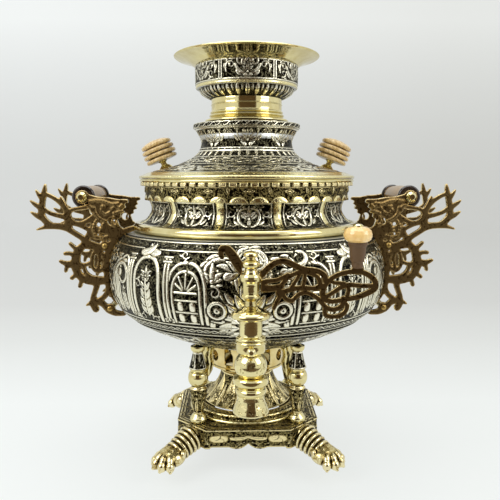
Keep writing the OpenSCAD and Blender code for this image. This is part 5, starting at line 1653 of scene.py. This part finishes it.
# %% Materials of the pieces that stay as they are
iron = gloss("sooty cast iron", ("#15110e", "#2e2823"), (0.7, 0.9), 300.0, bump_depth=0.6)
copper_tin = gloss("tinned sheet, smoked", ("#8d8a82", "#5d5850"), (0.35, 0.55), 60.0, metal=1.0)
steel = gloss("turned steel", ("#9a9a98", "#7e7e7c"), (0.25, 0.35), 400.0, metal=1.0)

finishes = {
    brass: ("tap_bead", "key_knob_cap", "lid_knob_stems", "grip_nuts", "handle_stays"),
    plain_brass: ("grip_rods", "key_plug", "tap_backnut", "stay_screws"),
    warm_brass: ("air_collar",),
    amber: ("key_knob",),
    iron: ("grate",),
    copper_tin: ("fire_tube",),
    steel: ("foot_screws", "post_nuts"),
    dark_wood: ("key_knob_post",),
}
for material, nodes in finishes.items():
    for node in nodes:
        mesh = frame["nodes"][node].data
        mesh.materials.clear()
        mesh.materials.append(material)
print("nodes that keep their own mesh:", sum(len(nodes) for nodes in finishes.values()))

# %% Floor and backdrop
def seen_rays(material):
    """1 for what the camera or a mirror-like surface sees, 0 for the light that falls on things."""
    rays = add(material, "LightPath")
    return add(material, "Math", {"operation": "MAXIMUM"}, i0=rays.outputs["Is Camera Ray"],
               i1=rays.outputs["Is Glossy Ray"])


def studio_paper():
    """White paper under the urn, with painted light: it falls off to grey behind the urn, rises to a bright
    wall and has painted shade towards the right.
    """
    paper = new_material("pale studio paper")
    place = add(paper, "SeparateXYZ", i0=add(paper, "TexCoord").outputs["Object"])
    back = add(paper, "MapRange", {"From Min": 0.15, "From Max": 0.9}, Value=place.outputs["Y"])
    rise = add(paper, "MapRange", {"From Min": 0.2, "From Max": 1.3}, Value=place.outputs["Z"])
    across = add(paper, "MapRange", {"From Min": -1.3, "From Max": 1.3}, Value=place.outputs["X"])
    # Painted light: darker going back from the urn, brighter up the wall, and painted shade to the right.
    ground = ramp(paper, back, [(0.0, "#f6faf9"), (0.5, "#e6e9e7"), (1.0, "#dddfdd")])
    wall = ramp(paper, rise, [(0.0, "#dddfdd"), (0.5, "#eef1f0"), (1.0, "#fafdfc")])
    tone = add(paper, "MixRGB", {}, Fac=rise, Color1=ground, Color2=wall)
    painted_side_shade = ramp(paper, across, [(0.0, "#ffffff"), (1.0, "#f2f1ef")])
    final = add(paper, "MixRGB", {"blend_type": "MULTIPLY", 0: 1.0}, Color1=tone, Color2=painted_side_shade)
    lit = add(paper, "BsdfPrincipled", {"Roughness": 0.6}, Base_Color=final)
    shown = add(paper, "Emission", {"Strength": 1.0}, Color=final)
    part = add(paper, "Math", {"operation": "MULTIPLY", 1: 0.8}, i0=seen_rays(paper))
    return finish_material(paper, add(paper, "MixShader", i0=part, i1=lit, i2=shown))


def stage():
    """A floor that sweeps up behind the urn without an edge."""
    bm = bmesh.new()
    line = [(-2.2, -0.0005), (2.2, -0.0005), (2.9, 0.25), (3.1, 1.2), (3.1, 4.0)]
    points = [bm.verts.new((-4, y, z)) for y, z in curve(line, 8)]
    for pair in zip(points, points[1:]):
        bm.edges.new(pair)
    sweep = bmesh.ops.extrude_edge_only(bm, edges=bm.edges)
    moved = [v for v in sweep["geom"] if isinstance(v, bmesh.types.BMVert)]
    bmesh.ops.translate(bm, vec=(8, 0, 0), verts=moved)
    bmesh.ops.recalc_face_normals(bm, faces=bm.faces)
    sweep = to_object(bm, "studio_sweep", studio_paper())


stage()


def dark_board(name, centre, facing, size):
    """A dark board that only reflections see, for the dark stripes that polished brass needs."""
    board = new_material(name)
    rays = add(board, "LightPath")
    cloth = add(board, "BsdfPrincipled", {"Base Color": linear("#4a3620"), "Roughness": 0.9})
    finish_material(board, add(board, "MixShader", i0=rays.outputs["Is Glossy Ray"],
                               i1=add(board, "BsdfTransparent"), i2=cloth))
    bm = bmesh.new()
    bmesh.ops.create_grid(bm, x_segments=1, y_segments=1, size=0.5)
    bmesh.ops.scale(bm, vec=(size[0], size[1], 1), verts=bm.verts)
    place = Matrix.Translation(Vector(centre)) @ Vector(facing).to_track_quat("Z", "Y").to_matrix().to_4x4()
    to_object(bm, name, board, place)


dark_board("dark_board_behind", (0.05, -1.75, 0.62), (0, 1, 0), (1.9, 1.25))
dark_board("dark_board_low", (0.05, -1.05, 0.004), (0, 0, 1), (1.5, 1.2))

# %% Lights
def softbox(name, place, target, size, power):
    lamp = bpy.data.lights.new(name, "AREA")
    lamp.shape = "RECTANGLE"
    lamp.size, lamp.size_y = size
    lamp.energy = power
    box = bpy.data.objects.new(name, lamp)
    box.location = place
    box.rotation_euler = (Vector(target) - Vector(place)).to_track_quat("-Z", "Y").to_euler()
    bpy.context.scene.collection.objects.link(box)


softbox("key_left", (-1.5, -1.0, 1.5), (0, 0, 0.25), (1.2, 1.2), 22)
softbox("key_right", (1.6, -0.9, 1.3), (0, 0, 0.25), (1.0, 1.2), 15)
softbox("top", (0, 0.1, 1.9), (0, 0, 0.2), (1.6, 1.2), 16)

world = bpy.data.worlds.new("studio")
bpy.context.scene.world = world
world.use_nodes = True
world.node_tree.nodes.clear()
level = add(world, "MapRange", {"To Min": 0.6, "To Max": 0.95}, Value=seen_rays(world))
sky = add(world, "Background", {"Color": linear("#f4f6f5")}, Strength=level)
add(world, "OutputWorld", Surface=sky)

# %% Count of triangles
triangles = sum(sum(len(f.vertices) - 2 for f in o.data.polygons) for o in bpy.data.objects
                if o.type == "MESH" and not o.hide_render)
print("triangles in all:", triangles)
